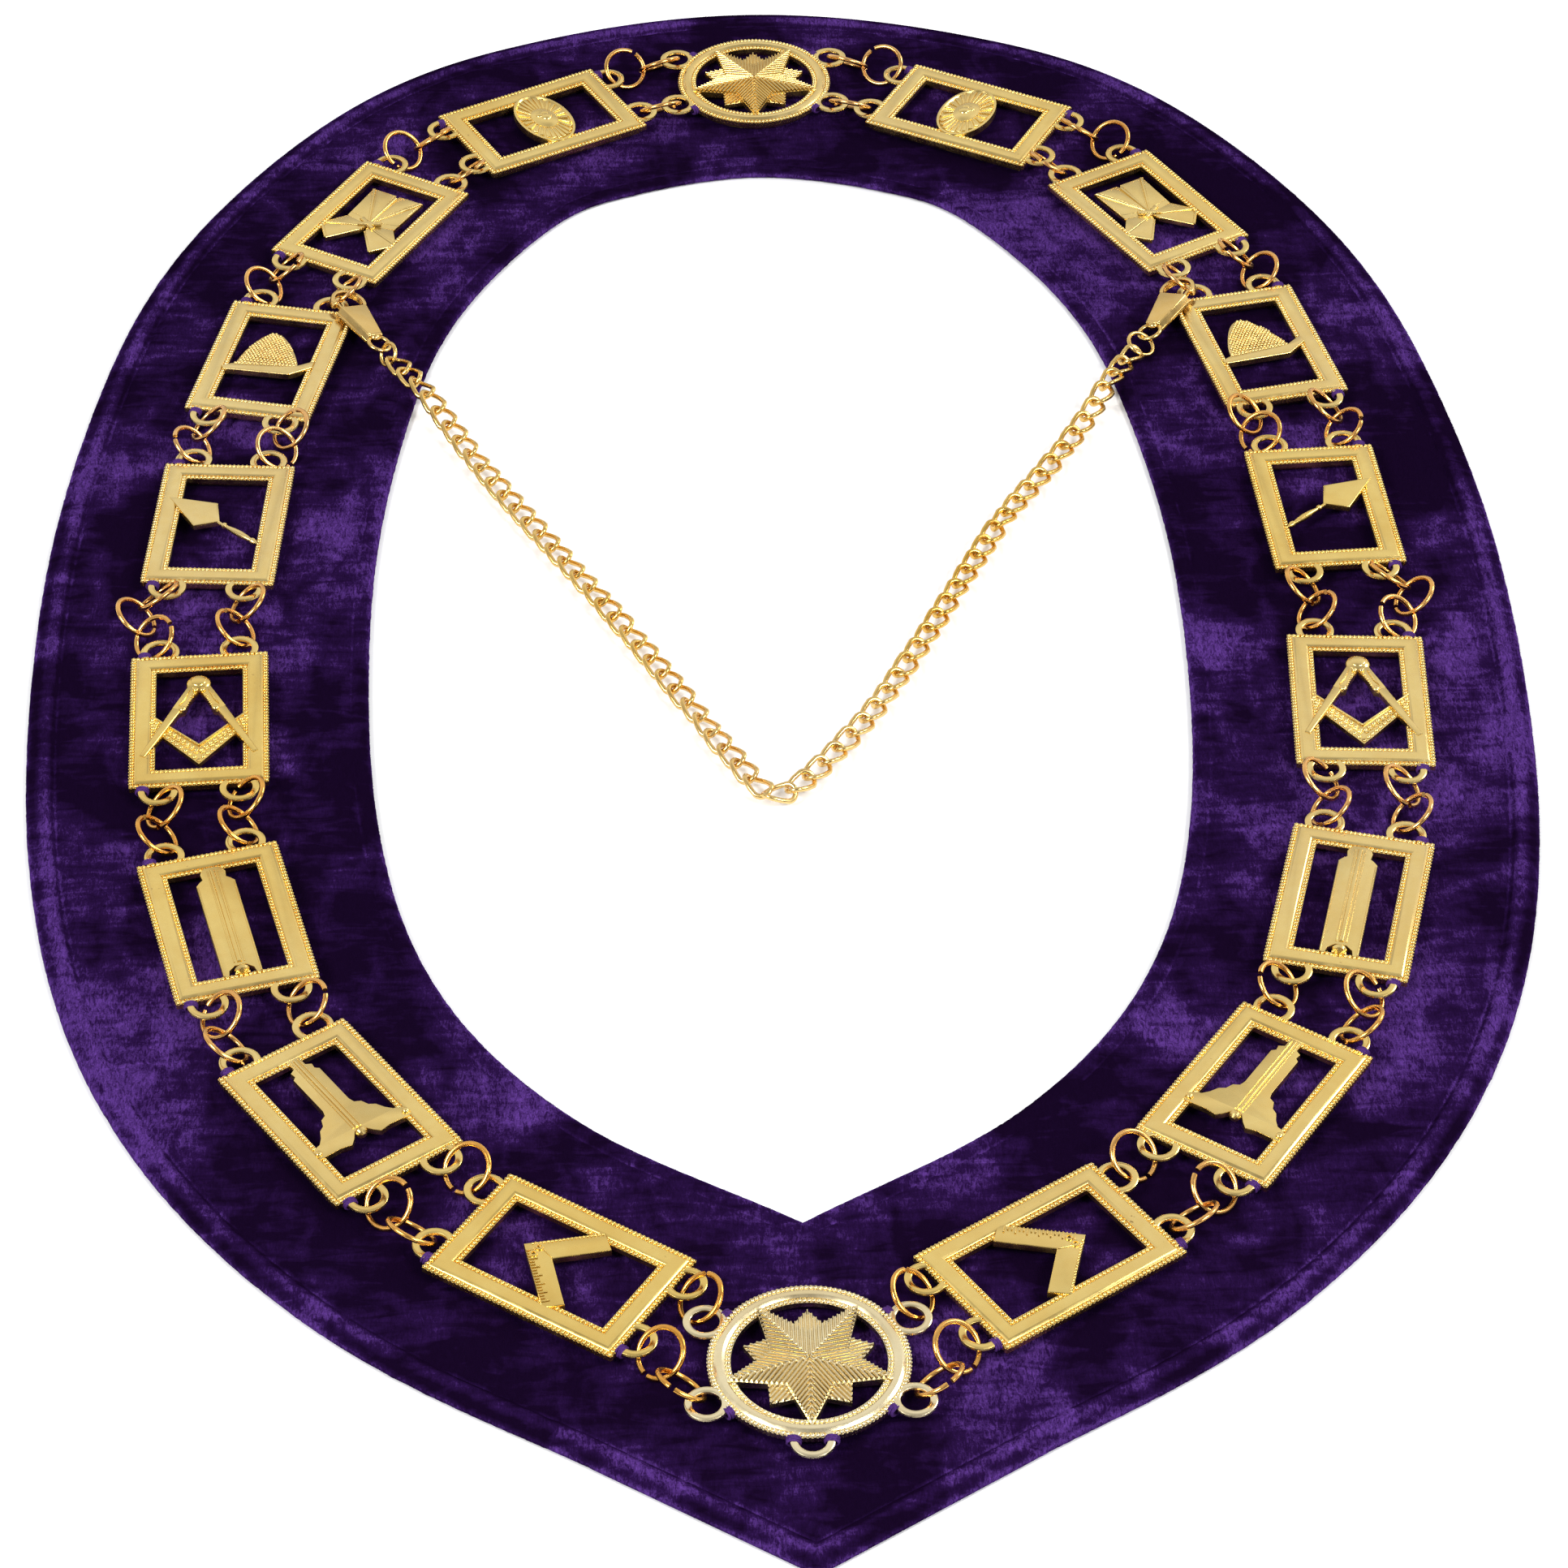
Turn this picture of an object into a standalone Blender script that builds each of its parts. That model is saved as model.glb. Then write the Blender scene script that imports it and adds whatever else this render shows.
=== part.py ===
# Chain collar of a lodge officer: a velvet collar, rounded at the back of the neck and
# pointed in front, that carries sixteen framed plates and two star medallions, joined
# by jump rings, with a safety chain on two snap hooks across the neck opening.
# Metres, +Z up. The collar lies flat with its underside at z = 0, the origin is the
# middle of its outline, and the point of the V is towards -Y.

import math
from collections import namedtuple

import bmesh
import bpy
import numpy as np
from mathutils import Matrix, Vector

# Velvet collar
OPENING_LENGTH = 0.426
OPENING_WIDTH = 0.213
BAND_WIDTH = 0.087
VELVET_THICKNESS = 0.002
OUTLINE_STEPS = 28
CURVE_STEPS = 12

# What lies on the velvet stays this far above it
REST_GAP = 0.0004

# Plates and medallions
PLATE_WIDTH = 0.035
PLATE_LENGTH = 0.0513
PLATE_THICKNESS = 0.0039
FRAME_WIDTH = 0.0064
BEAD_ROW_WIDTH = 0.0015
BEAD_ROW_DEPTH = 0.00025
EMBLEM_UNDERSIDE = 0.0009
EMBLEM_SINK = 0.0007
EMBLEM_STAGGER = 0.00018
MEDALLION_DIAMETER = 0.0452
MEDALLION_RIM = 0.0051
MEDALLION_RISE = 0.0047
MEDALLION_STEPS = 20
STAR_POINTS = 5
STAR_NOTCH_SHARE = 0.67
STAR_SHORT_SHARE = 0.87

# Lugs: flat open rings cast on the ends of the plates and on the medallions
LUG_DIAMETER = 0.0102
LUG_WIRE = 0.0019
LUG_THICKNESS = 0.0012
LUG_LIFT = 0.0030
LUG_SPREAD = 0.0204
LUG_SINK = 0.0005
JEWEL_LOOP_SINK = 0.0013
PLATE_LUG_OFFSET = 0.0018
MEDALLION_LUG_OFFSET = 0.0034
JEWEL_LOOP_OFFSET = 0.0008
MEDALLION_LUG_ANGLE = 28.0
LUG_STEPS = 5

# Jump rings
RING_DIAMETER = 0.0128
RING_WIRE = 0.0011
RING_TILT = 41.0
RING_LIFT = 0.0017
RING_PLAY = 0.0007
RING_MERGE = 0.00015
RING_SIDES = 10
WIRE_SIDES = 5

# Snap hooks
HOOK_DIAMETER = 0.0104
HOOK_STRIP = 0.0012
HOOK_HEIGHT = 0.0018
HOOK_LEVEL = 0.0026
HOOK_SLACK = 0.0026
HOOK_SHIFT = -0.0004
HOOK_TIP_ANGLE = 84.0
HOOK_HEEL_ANGLE = 305.0
HOOK_STEPS = 8
BODY_SETBACK = 0.00253
BODY_LENGTH = 0.0135
BODY_WIDE_END = 0.0104
BODY_NARROW_END = 0.0054
BODY_HEIGHT = 0.0026
SHEET_THICKNESS = 0.0008
EYE_DIAMETER = 0.0074
EYE_SETBACK = 0.002325
EYE_REACH_ANGLE = 150.0
EYE_STEPS = 7
LEVER_THICKNESS = 0.0009
LEVER_HEIGHT = 0.0011
LEVER_GAP = 0.0003
LEVER_TIP_ANGLE = 98.0
PIN_DIAMETER = 0.0012
PIN_SETBACK = 0.00168
PIN_PLAY = 0.00052
PIN_STEPS = 8
CLASP_TURN = 50.0
CLASP_PITCH = 9.0
CLASP_ROLL = 16.0

# Safety chain, as the round tube that its links fill
CHAIN_DIAMETER = 0.0048
CHAIN_POINTS = 40
CHAIN_END_GAP = 0.0008

# Half of the neck opening, from the back of the neck to the point of the V,
# as shares of the opening's length and half width
OpeningRow = namedtuple("OpeningRow", "up across")
OPENING_ROWS = (
    OpeningRow(up=1.000, across=0.000),
    OpeningRow(up=0.981, across=0.333),
    OpeningRow(up=0.944, across=0.559),
    OpeningRow(up=0.843, across=0.804),
    OpeningRow(up=0.725, across=0.930),
    OpeningRow(up=0.549, across=1.000),
    OpeningRow(up=0.338, across=0.962),
    OpeningRow(up=0.190, across=0.808),
    OpeningRow(up=0.082, across=0.492),
    OpeningRow(up=0.000, across=0.000),
)

# Section of the velvet from its inner edge to its outer one,
# as shares of the band's width and the velvet's thickness
VelvetRow = namedtuple("VelvetRow", "across height")
VELVET_ROWS = (
    VelvetRow(across=0.000, height=0.00),
    VelvetRow(across=0.000, height=0.80),
    VelvetRow(across=0.030, height=1.00),
    VelvetRow(across=0.900, height=1.00),
    VelvetRow(across=0.945, height=1.35),
    VelvetRow(across=1.000, height=0.75),
    VelvetRow(across=1.000, height=0.00),
)

# Emblems from the back of the neck to the front, the share of the free length that the
# gap before each plate takes (the last gap is before the front medallion), and whether
# the left plate is the mirror image of the right one or the same casting
PlateRow = namedtuple("PlateRow", "emblem gap_share mirrored")
PLATE_ROWS = (
    PlateRow(emblem="oval", gap_share=0.097, mirrored=True),
    PlateRow(emblem="fan", gap_share=0.110, mirrored=True),
    PlateRow(emblem="beehive", gap_share=0.107, mirrored=False),
    PlateRow(emblem="trowel", gap_share=0.116, mirrored=True),
    PlateRow(emblem="compasses", gap_share=0.149, mirrored=True),
    PlateRow(emblem="plumb", gap_share=0.133, mirrored=True),
    PlateRow(emblem="level", gap_share=0.111, mirrored=True),
    PlateRow(emblem="square", gap_share=0.111, mirrored=False),
)
CLASP_JUNCTION = 3

# Route of the safety chain across the opening, from the left hook to the right one, laid
# by hand; its ends are added where the hooks' eyes lie
CHAIN_ROUTE = (
    Vector((-0.0955, 0.1120, 0.0057)),
    Vector((-0.0880, 0.0980, 0.0040)),
    Vector((-0.0771, 0.0766, 0.0026)),
    Vector((-0.0552, 0.0371, 0.0026)),
    Vector((-0.0425, 0.0145, 0.0026)),
    Vector((-0.0241, -0.0208, 0.0026)),
    Vector((-0.0132, -0.0420, 0.0026)),
    Vector((-0.0010, -0.0575, 0.0026)),
    Vector((0.0191, -0.0335, 0.0026)),
    Vector((0.0353, -0.0032, 0.0026)),
    Vector((0.0525, 0.0335, 0.0026)),
    Vector((0.0626, 0.0541, 0.0026)),
    Vector((0.0776, 0.0787, 0.0026)),
    Vector((0.0880, 0.0968, 0.0040)),
    Vector((0.0955, 0.1115, 0.0057)),
)

# Colours of the finishes: base colour, metallic, roughness
Finish = namedtuple("Finish", "colour metallic roughness")
FINISHES = {
    "velvet": Finish((0.035, 0.008, 0.11), 0.0, 0.9),
    "plate": Finish((0.86, 0.66, 0.28), 1.0, 0.25),
    "medallion": Finish((0.83, 0.70, 0.42), 1.0, 0.22),
    "ring": Finish((0.85, 0.50, 0.19), 1.0, 0.25),
    "chain": Finish((0.86, 0.64, 0.22), 1.0, 0.25),
}

VELVET_TOP = VELVET_THICKNESS
PLATE_BOTTOM = VELVET_TOP + REST_GAP
LUG_LEVEL = PLATE_BOTTOM + LUG_LIFT
LUG_RADIUS = (LUG_DIAMETER - LUG_WIRE) / 2
RING_RADIUS = (RING_DIAMETER - RING_WIRE) / 2


def clear_scene():
    for item in list(bpy.data.objects):
        bpy.data.objects.remove(item, do_unlink=True)


def make_collection(name):
    collection = bpy.data.collections.new(name)
    bpy.context.scene.collection.children.link(collection)
    return collection


def make_material(name, finish):
    material = bpy.data.materials.new(name)
    material.use_nodes = True
    shader = material.node_tree.nodes["Principled BSDF"]
    shader.inputs["Base Color"].default_value = (*finish.colour, 1.0)
    shader.inputs["Metallic"].default_value = finish.metallic
    shader.inputs["Roughness"].default_value = finish.roughness
    material.diffuse_color = (*finish.colour, 1.0)
    return material


def place_part(name, mesh, finish_name, collection):
    mesh.name = name
    mesh.materials.clear()
    mesh.materials.append(make_material(name + "_finish", FINISHES[finish_name]))
    part = bpy.data.objects.new(name, mesh)
    collection.objects.link(part)
    return part


def shade_round(mesh, angle=40.0):
    mesh.shade_smooth()
    mesh.set_sharp_from_angle(angle=math.radians(angle))


def clean_mesh(mesh):
    work = bmesh.new()
    work.from_mesh(mesh)
    bmesh.ops.remove_doubles(work, verts=work.verts, dist=0.000002)
    bmesh.ops.recalc_face_normals(work, faces=work.faces)
    work.to_mesh(mesh)
    work.free()
    return mesh


def merge_flat_faces(mesh):
    """Drops the edges and corners that a union leaves across flat faces."""
    work = bmesh.new()
    work.from_mesh(mesh)
    bmesh.ops.dissolve_limit(work, angle_limit=math.radians(0.2), verts=work.verts,
                             edges=work.edges)
    work.to_mesh(mesh)
    work.free()
    return mesh


def mesh_from_curve(curve):
    guide = bpy.data.objects.new("outline_guide", curve)
    bpy.context.scene.collection.objects.link(guide)
    bpy.context.view_layer.update()
    evaluated = guide.evaluated_get(bpy.context.evaluated_depsgraph_get())
    mesh = bpy.data.meshes.new_from_object(evaluated)
    bpy.data.objects.remove(guide, do_unlink=True)
    bpy.data.curves.remove(curve)
    return clean_mesh(mesh)


def slab(outlines, low, high):
    """A flat piece between two heights; every outline after the first is a hole."""
    curve = bpy.data.curves.new("outline", "CURVE")
    curve.dimensions = "2D"
    curve.fill_mode = "BOTH"
    curve.extrude = (high - low) / 2
    for outline in outlines:
        spline = curve.splines.new("POLY")
        spline.points.add(len(outline) - 1)
        for point, place in zip(spline.points, outline):
            point.co = (place[0], place[1], 0.0, 1.0)
        spline.use_cyclic_u = True
    mesh = mesh_from_curve(curve)
    mesh.transform(Matrix.Translation((0.0, 0.0, (low + high) / 2)))
    return mesh


def fuse(meshes):
    """One closed body from overlapping ones."""
    objects = []
    for mesh in meshes:
        piece = bpy.data.objects.new("fused_piece", mesh)
        bpy.context.scene.collection.objects.link(piece)
        objects.append(piece)
    base = objects[0]
    for piece in objects[1:]:
        union = base.modifiers.new("union", "BOOLEAN")
        union.operation = "UNION"
        union.solver = "EXACT"
        union.object = piece
    bpy.context.view_layer.update()
    evaluated = base.evaluated_get(bpy.context.evaluated_depsgraph_get())
    result = bpy.data.meshes.new_from_object(evaluated)
    for piece in objects:
        bpy.data.objects.remove(piece, do_unlink=True)
    return merge_flat_faces(clean_mesh(result))


def flat_arc(centre, radius, start, end, steps, facing=0.0):
    """Points of an arc; the angles are in degrees from the facing direction."""
    points = []
    for step in range(steps + 1):
        angle = math.radians(facing + start + (end - start) * step / steps)
        points.append((centre[0] + radius * math.cos(angle),
                       centre[1] + radius * math.sin(angle)))
    return points


def flat_circle(centre, radius, steps):
    return flat_arc(centre, radius, 0.0, 360.0, steps)[:-1]


def flat_box(half_width, half_length):
    return [(-half_width, -half_length), (half_width, -half_length),
            (half_width, half_length), (-half_width, half_length)]


# Outline of the collar

def smooth_through(points, steps):
    """A Catmull-Rom curve through the points, with even steps between two of them."""
    ahead = [points[0] * 2 - points[1]] + list(points) + [points[-1] * 2 - points[-2]]
    curve = []
    for index in range(1, len(ahead) - 2):
        a, b, c, d = ahead[index - 1:index + 3]
        for step in range(steps):
            t = step / steps
            curve.append(0.5 * (2 * b + (c - a) * t + (2 * a - 5 * b + 4 * c - d) * t * t
                                + (3 * b - a - 3 * c + d) * t ** 3))
    curve.append(points[-1].copy())
    return curve


def spread_evenly(points, count):
    """The same path with its points at even distances."""
    lengths = [0.0]
    for before, after in zip(points, points[1:]):
        lengths.append(lengths[-1] + (after - before).length)
    even = []
    index = 0
    for step in range(count + 1):
        target = lengths[-1] * step / count
        while index < len(points) - 2 and lengths[index + 1] < target:
            index += 1
        share = (target - lengths[index]) / (lengths[index + 1] - lengths[index])
        even.append(points[index].lerp(points[index + 1], share))
    return even


def opening_half():
    """The right half of the neck opening, from the back of the neck to the V."""
    rows = [Vector((row.across * OPENING_WIDTH / 2, row.up * OPENING_LENGTH))
            for row in OPENING_ROWS]
    mirrored = [Vector((-rows[1].x, rows[1].y))] + rows
    return smooth_through(mirrored, CURVE_STEPS)[CURVE_STEPS:]


def outward_steps(half):
    """For each point, the way out that the band's width is measured along."""
    steps = [Vector((0.0, 1.0))]
    for before, after in zip(half, half[2:]):
        along = (after - before).normalized()
        steps.append(Vector((-along.y, along.x)))
    last = (half[-1] - half[-2]).normalized()
    steps.append(Vector((0.0, -1.0)) / abs(last.x))
    return steps


INNER_HALF = spread_evenly(opening_half(), OUTLINE_STEPS)
OUT_STEPS = outward_steps(INNER_HALF)
FRONT_TIP = (INNER_HALF[-1] + OUT_STEPS[-1] * BAND_WIDTH).y
BACK_END = OPENING_LENGTH + BAND_WIDTH
MIDDLE = (FRONT_TIP + BACK_END) / 2


def band_half(share):
    """The right half of the line that lies at a share of the band's width."""
    shift = Vector((0.0, -MIDDLE))
    return [point + out * share * BAND_WIDTH + shift
            for point, out in zip(INNER_HALF, OUT_STEPS)]


def full_loop(half):
    return half + [Vector((-point.x, point.y)) for point in reversed(half[1:-1])]


def loft_loops(loops):
    """A closed tube of skin through loops of as many points, the last joined to the first."""
    work = bmesh.new()
    rows = [[work.verts.new(point) for point in loop] for loop in loops]
    count = len(rows[0])
    for row, after in zip(rows, rows[1:] + rows[:1]):
        for index in range(count):
            following = (index + 1) % count
            work.faces.new((row[index], row[following], after[following], after[index]))
    bmesh.ops.recalc_face_normals(work, faces=work.faces)
    mesh = bpy.data.meshes.new("loft")
    work.to_mesh(mesh)
    work.free()
    return mesh


def build_velvet(collection):
    loops = []
    for row in VELVET_ROWS:
        height = row.height * VELVET_THICKNESS
        line = full_loop(band_half(row.across))
        loops.append([Vector((point.x, point.y, height)) for point in line])
    mesh = loft_loops(loops)
    shade_round(mesh, 50.0)
    place_part("velvet_collar", mesh, "velvet", collection)


# Where the plates and medallions lie

class Line:
    """The middle line of the band, measured from the back of the neck."""

    def __init__(self, points):
        self.points = points
        self.lengths = [0.0]
        for before, after in zip(points, points[1:]):
            self.lengths.append(self.lengths[-1] + (after - before).length)
        self.length = self.lengths[-1]

    def at(self, distance):
        index = 0
        while index < len(self.points) - 2 and self.lengths[index + 1] < distance:
            index += 1
        span = self.lengths[index + 1] - self.lengths[index]
        share = (distance - self.lengths[index]) / span
        return self.points[index].lerp(self.points[index + 1], share)


Place = namedtuple("Place", "centre turn")


def plate_places():
    """Centre of each right plate, and the turn of its upper end from +Y."""
    line = Line(band_half(0.5))
    chain = line.length - MEDALLION_RISE
    free = chain - MEDALLION_DIAMETER - len(PLATE_ROWS) * PLATE_LENGTH
    places = []
    travelled = MEDALLION_DIAMETER / 2
    for row in PLATE_ROWS:
        travelled += row.gap_share * free
        upper = line.at(travelled)
        travelled += PLATE_LENGTH
        lower = line.at(travelled)
        along = (upper - lower).normalized()
        turn = math.degrees(math.atan2(along.y, along.x)) - 90.0
        places.append(Place((upper + lower) / 2, turn))
    return places


def medallion_places():
    middle = band_half(0.5)
    return {
        "medallion_back": middle[0],
        "medallion_front": middle[-1] + Vector((0.0, MEDALLION_RISE)),
    }


PLATES = plate_places()
MEDALLIONS = medallion_places()


def mirrored_place(place):
    return Place(Vector((-place.centre.x, place.centre.y)), -place.turn)


def plate_matrix(place):
    return (Matrix.Translation((place.centre.x, place.centre.y, PLATE_BOTTOM))
            @ Matrix.Rotation(math.radians(place.turn), 4, "Z"))


# Castings

def lug_mesh(root, facing, offset, sink=LUG_SINK):
    """A flat ring, open at its root, whose centre lies at the offset from the edge."""
    outer_radius = LUG_DIAMETER / 2
    inner_radius = outer_radius - LUG_WIRE
    direction = Vector((math.cos(math.radians(facing)), math.sin(math.radians(facing))))
    centre = Vector(root) + direction * offset
    outer_reach = min(1.0, (offset + sink) / outer_radius)
    inner_reach = min(0.97, (offset + sink / 2) / inner_radius)
    outer_end = 90.0 + math.degrees(math.asin(outer_reach))
    inner_end = 90.0 + math.degrees(math.asin(inner_reach))
    steps = LUG_STEPS - 1
    corner = math.cos(math.radians(inner_end / steps))
    outline = flat_arc(centre, outer_radius, -outer_end, outer_end, LUG_STEPS, facing)
    outline += flat_arc(centre, inner_radius / corner, inner_end, -inner_end, steps, facing)
    return slab([outline], LUG_LIFT - LUG_THICKNESS / 2, LUG_LIFT + LUG_THICKNESS / 2)


def frame_meshes():
    """A flat frame whose raised rail leaves a ledge for the outer row of beads."""
    half_width = PLATE_WIDTH / 2
    half_length = PLATE_LENGTH / 2
    base_top = PLATE_THICKNESS - BEAD_ROW_DEPTH
    window = flat_box(half_width - FRAME_WIDTH, half_length - FRAME_WIDTH)
    base = slab([flat_box(half_width, half_length), window], 0.0, base_top)
    ledge = flat_box(half_width - BEAD_ROW_WIDTH, half_length - BEAD_ROW_WIDTH)
    rail = slab([ledge, window], base_top - BEAD_ROW_DEPTH, PLATE_THICKNESS)
    lugs = []
    for end in (1, -1):
        for side in (1, -1):
            root = (side * LUG_SPREAD / 2, end * half_length)
            lugs.append(lug_mesh(root, 90.0 * end, PLATE_LUG_OFFSET))
    return [base, rail] + lugs


# Emblems. Outlines are shares of the window's half width and half length, so that
# they follow the window; what reaches a rail goes a little into it.

WINDOW_ACROSS = PLATE_WIDTH / 2 - FRAME_WIDTH
WINDOW_ALONG = PLATE_LENGTH / 2 - FRAME_WIDTH
EMBLEM_TOP = PLATE_THICKNESS - EMBLEM_SINK

# A piece of an emblem that crosses another one starts a little higher than it
CROSSING_UNDERSIDE = EMBLEM_UNDERSIDE + EMBLEM_STAGGER


def in_window(shares):
    return [(across * WINDOW_ACROSS, along * WINDOW_ALONG) for across, along in shares]


def raised(shares, low=EMBLEM_UNDERSIDE, high=EMBLEM_TOP):
    return slab([in_window(shares)], low, high)


def both_sides(shares):
    """A symmetric outline from its right half, listed from top to bottom."""
    return list(shares) + [(-across, along) for across, along in reversed(shares)
                           if across != 0.0]


def oval_emblem():
    disc = [(1.10 * math.cos(angle), 0.41 * math.sin(angle) + 0.03)
            for angle in np.linspace(0, 2 * math.pi, 12, endpoint=False)]
    boss = [(across * 0.35, along * 0.4 + 0.02) for across, along in disc[::2]]
    return [raised(disc), raised(boss, CROSSING_UNDERSIDE, EMBLEM_TOP + BEAD_ROW_DEPTH)]


def fan_emblem():
    fan = both_sides([(0.76, 0.78), (0.70, 0.00), (0.00, -0.10)])
    right_wing = [(0.00, -0.08), (0.70, -0.01), (1.14, -0.34), (0.66, -0.67), (0.08, -0.25)]
    left_wing = [(-across, along) for across, along in right_wing]
    step = BEAD_ROW_DEPTH / 2
    return [raised(fan), raised(right_wing, high=EMBLEM_TOP - step),
            raised(left_wing, high=EMBLEM_TOP - 2 * step)]


def beehive_emblem():
    dome = [(-0.20, 0.66), (0.02, 0.63), (0.26, 0.48), (0.50, 0.26), (0.74, -0.04),
            (0.72, -0.20), (-0.84, -0.22), (-0.78, 0.02), (-0.62, 0.30), (-0.42, 0.56)]
    base = [(-1.12, -0.28), (-0.84, -0.20), (0.70, -0.12), (1.08, 0.04), (1.06, -0.10),
            (0.62, -0.34), (-1.02, -0.35)]
    return [raised(dome, high=EMBLEM_TOP + BEAD_ROW_DEPTH / 2),
            raised(base, CROSSING_UNDERSIDE)]


def trowel_emblem():
    blade = [(-0.03, 0.40), (1.10, 0.50), (0.46, -0.13), (-0.14, 0.04)]
    handle = [(-0.09, -0.01), (0.02, -0.06), (-0.50, -0.24), (-1.02, -0.50), (-1.10, -0.40),
              (-0.56, -0.16)]
    return [raised(blade), raised(handle, CROSSING_UNDERSIDE)]


def compasses_emblem():
    arms = [(1.07, 0.10), (1.07, -0.14), (0.00, -0.92), (-1.07, -0.14), (-1.07, 0.10),
            (0.00, -0.56)]
    compasses = both_sides([(0.00, 0.98), (0.22, 0.90), (0.28, 0.72), (0.25, 0.54),
                            (1.16, -0.64), (1.09, -0.69), (0.00, 0.46)])
    return [raised(arms, high=EMBLEM_TOP - BEAD_ROW_DEPTH / 2),
            raised(compasses, CROSSING_UNDERSIDE)]


def plumb_emblem():
    tablet = both_sides([(0.14, 1.04), (0.30, 0.78), (0.44, 0.70), (0.44, -1.04),
                         (0.24, -1.04), (0.12, -0.90)])
    bob = both_sides([(0.05, -0.86), (0.11, -1.04)])
    return [raised(tablet), raised(bob, high=EMBLEM_TOP + BEAD_ROW_DEPTH / 2)]


def level_emblem():
    stem = both_sides([(0.18, 1.04), (0.20, 0.84), (0.33, 0.80), (0.33, -0.05),
                       (0.56, -0.10), (0.78, -0.32), (1.08, -0.44), (1.08, -0.60),
                       (0.28, -0.60), (0.12, -0.46)])
    bob = both_sides([(0.06, -0.40), (0.12, -0.60)])
    return [raised(stem), raised(bob, high=EMBLEM_TOP + BEAD_ROW_DEPTH / 2)]


def square_emblem():
    """A set square whose corner points away from the front medallion."""
    return [raised([(0.03, 0.52), (-1.24, -0.24), (-0.92, -0.44), (0.00, 0.10),
                    (0.84, -0.42), (1.18, -0.20)])]


EMBLEMS = {
    "oval": oval_emblem,
    "fan": fan_emblem,
    "beehive": beehive_emblem,
    "trowel": trowel_emblem,
    "compasses": compasses_emblem,
    "plumb": plumb_emblem,
    "level": level_emblem,
    "square": square_emblem,
}


def mirror_mesh(mesh):
    """The left twin of a right piece."""
    twin = mesh.copy()
    twin.transform(Matrix.Scale(-1.0, 4, (1.0, 0.0, 0.0)))
    twin.flip_normals()
    return twin


def build_plates(collection):
    for place, row in zip(PLATES, PLATE_ROWS):
        right = fuse(frame_meshes() + EMBLEMS[row.emblem]())
        left = mirror_mesh(right) if row.mirrored else right.copy()
        left.transform(plate_matrix(mirrored_place(place)))
        right.transform(plate_matrix(place))
        place_part("plate_left_" + row.emblem, left, "plate", collection)
        place_part("plate_right_" + row.emblem, right, "plate", collection)


def star_mesh():
    """A star of long and short points in turn, raised to a low peak in the middle."""
    reach = MEDALLION_DIAMETER / 2 - MEDALLION_RIM
    notch = reach * STAR_NOTCH_SHARE
    radii = (reach + BEAD_ROW_WIDTH, notch, reach * STAR_SHORT_SHARE, notch)
    corners = STAR_POINTS * len(radii)
    outline = []
    for step in range(corners):
        angle = math.radians(-90.0 + 360.0 * step / corners)
        radius = radii[step % len(radii)]
        outline.append((radius * math.cos(angle), radius * math.sin(angle)))
    mesh = slab([outline], EMBLEM_UNDERSIDE, EMBLEM_TOP)
    work = bmesh.new()
    work.from_mesh(mesh)
    tops = [face for face in work.faces if face.normal.z > 0.9]
    bmesh.ops.dissolve_faces(work, faces=tops)
    top = next(face for face in work.faces if face.normal.z > 0.9)
    poked = bmesh.ops.poke(work, faces=[top])
    for vertex in poked["verts"]:
        vertex.co = (0.0, 0.0, PLATE_THICKNESS)
    work.to_mesh(mesh)
    work.free()
    return mesh


def medallion_mesh(has_jewel_loop):
    radius = MEDALLION_DIAMETER / 2
    base_top = PLATE_THICKNESS - BEAD_ROW_DEPTH
    window = flat_circle((0.0, 0.0), radius - MEDALLION_RIM, MEDALLION_STEPS)
    ledge = flat_circle((0.0, 0.0), radius - BEAD_ROW_WIDTH, MEDALLION_STEPS)
    pieces = [
        slab([flat_circle((0.0, 0.0), radius, MEDALLION_STEPS), window], 0.0, base_top),
        slab([ledge, window], base_top - BEAD_ROW_DEPTH, PLATE_THICKNESS),
        star_mesh(),
    ]
    angles = [MEDALLION_LUG_ANGLE, 180.0 - MEDALLION_LUG_ANGLE,
              180.0 + MEDALLION_LUG_ANGLE, -MEDALLION_LUG_ANGLE]
    for angle in angles:
        pieces.append(lug_mesh(medallion_rim_point(angle), angle, MEDALLION_LUG_OFFSET))
    if has_jewel_loop:
        pieces.append(lug_mesh(medallion_rim_point(-90.0), -90.0, JEWEL_LOOP_OFFSET,
                               JEWEL_LOOP_SINK))
    return fuse(pieces)


def medallion_rim_point(angle):
    radius = MEDALLION_DIAMETER / 2
    return (radius * math.cos(math.radians(angle)), radius * math.sin(math.radians(angle)))


def build_medallions(collection):
    for name, centre in MEDALLIONS.items():
        mesh = medallion_mesh(name == "medallion_front")
        mesh.transform(Matrix.Translation((centre.x, centre.y, PLATE_BOTTOM)))
        place_part(name, mesh, "medallion", collection)


# Jump rings

def plate_lug_centre(place, end, side):
    """Centre of a lug's hole; end is 1 at the upper end, side is 1 at the outer side."""
    local = Vector((side * LUG_SPREAD / 2, end * (PLATE_LENGTH / 2 + PLATE_LUG_OFFSET), 0.0))
    return (plate_matrix(place) @ local).to_2d()


def medallion_lug_centre(name, angle):
    reach = MEDALLION_DIAMETER / 2 + MEDALLION_LUG_OFFSET
    turn = math.radians(angle)
    return MEDALLIONS[name] + Vector((math.cos(turn), math.sin(turn))) * reach


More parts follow.
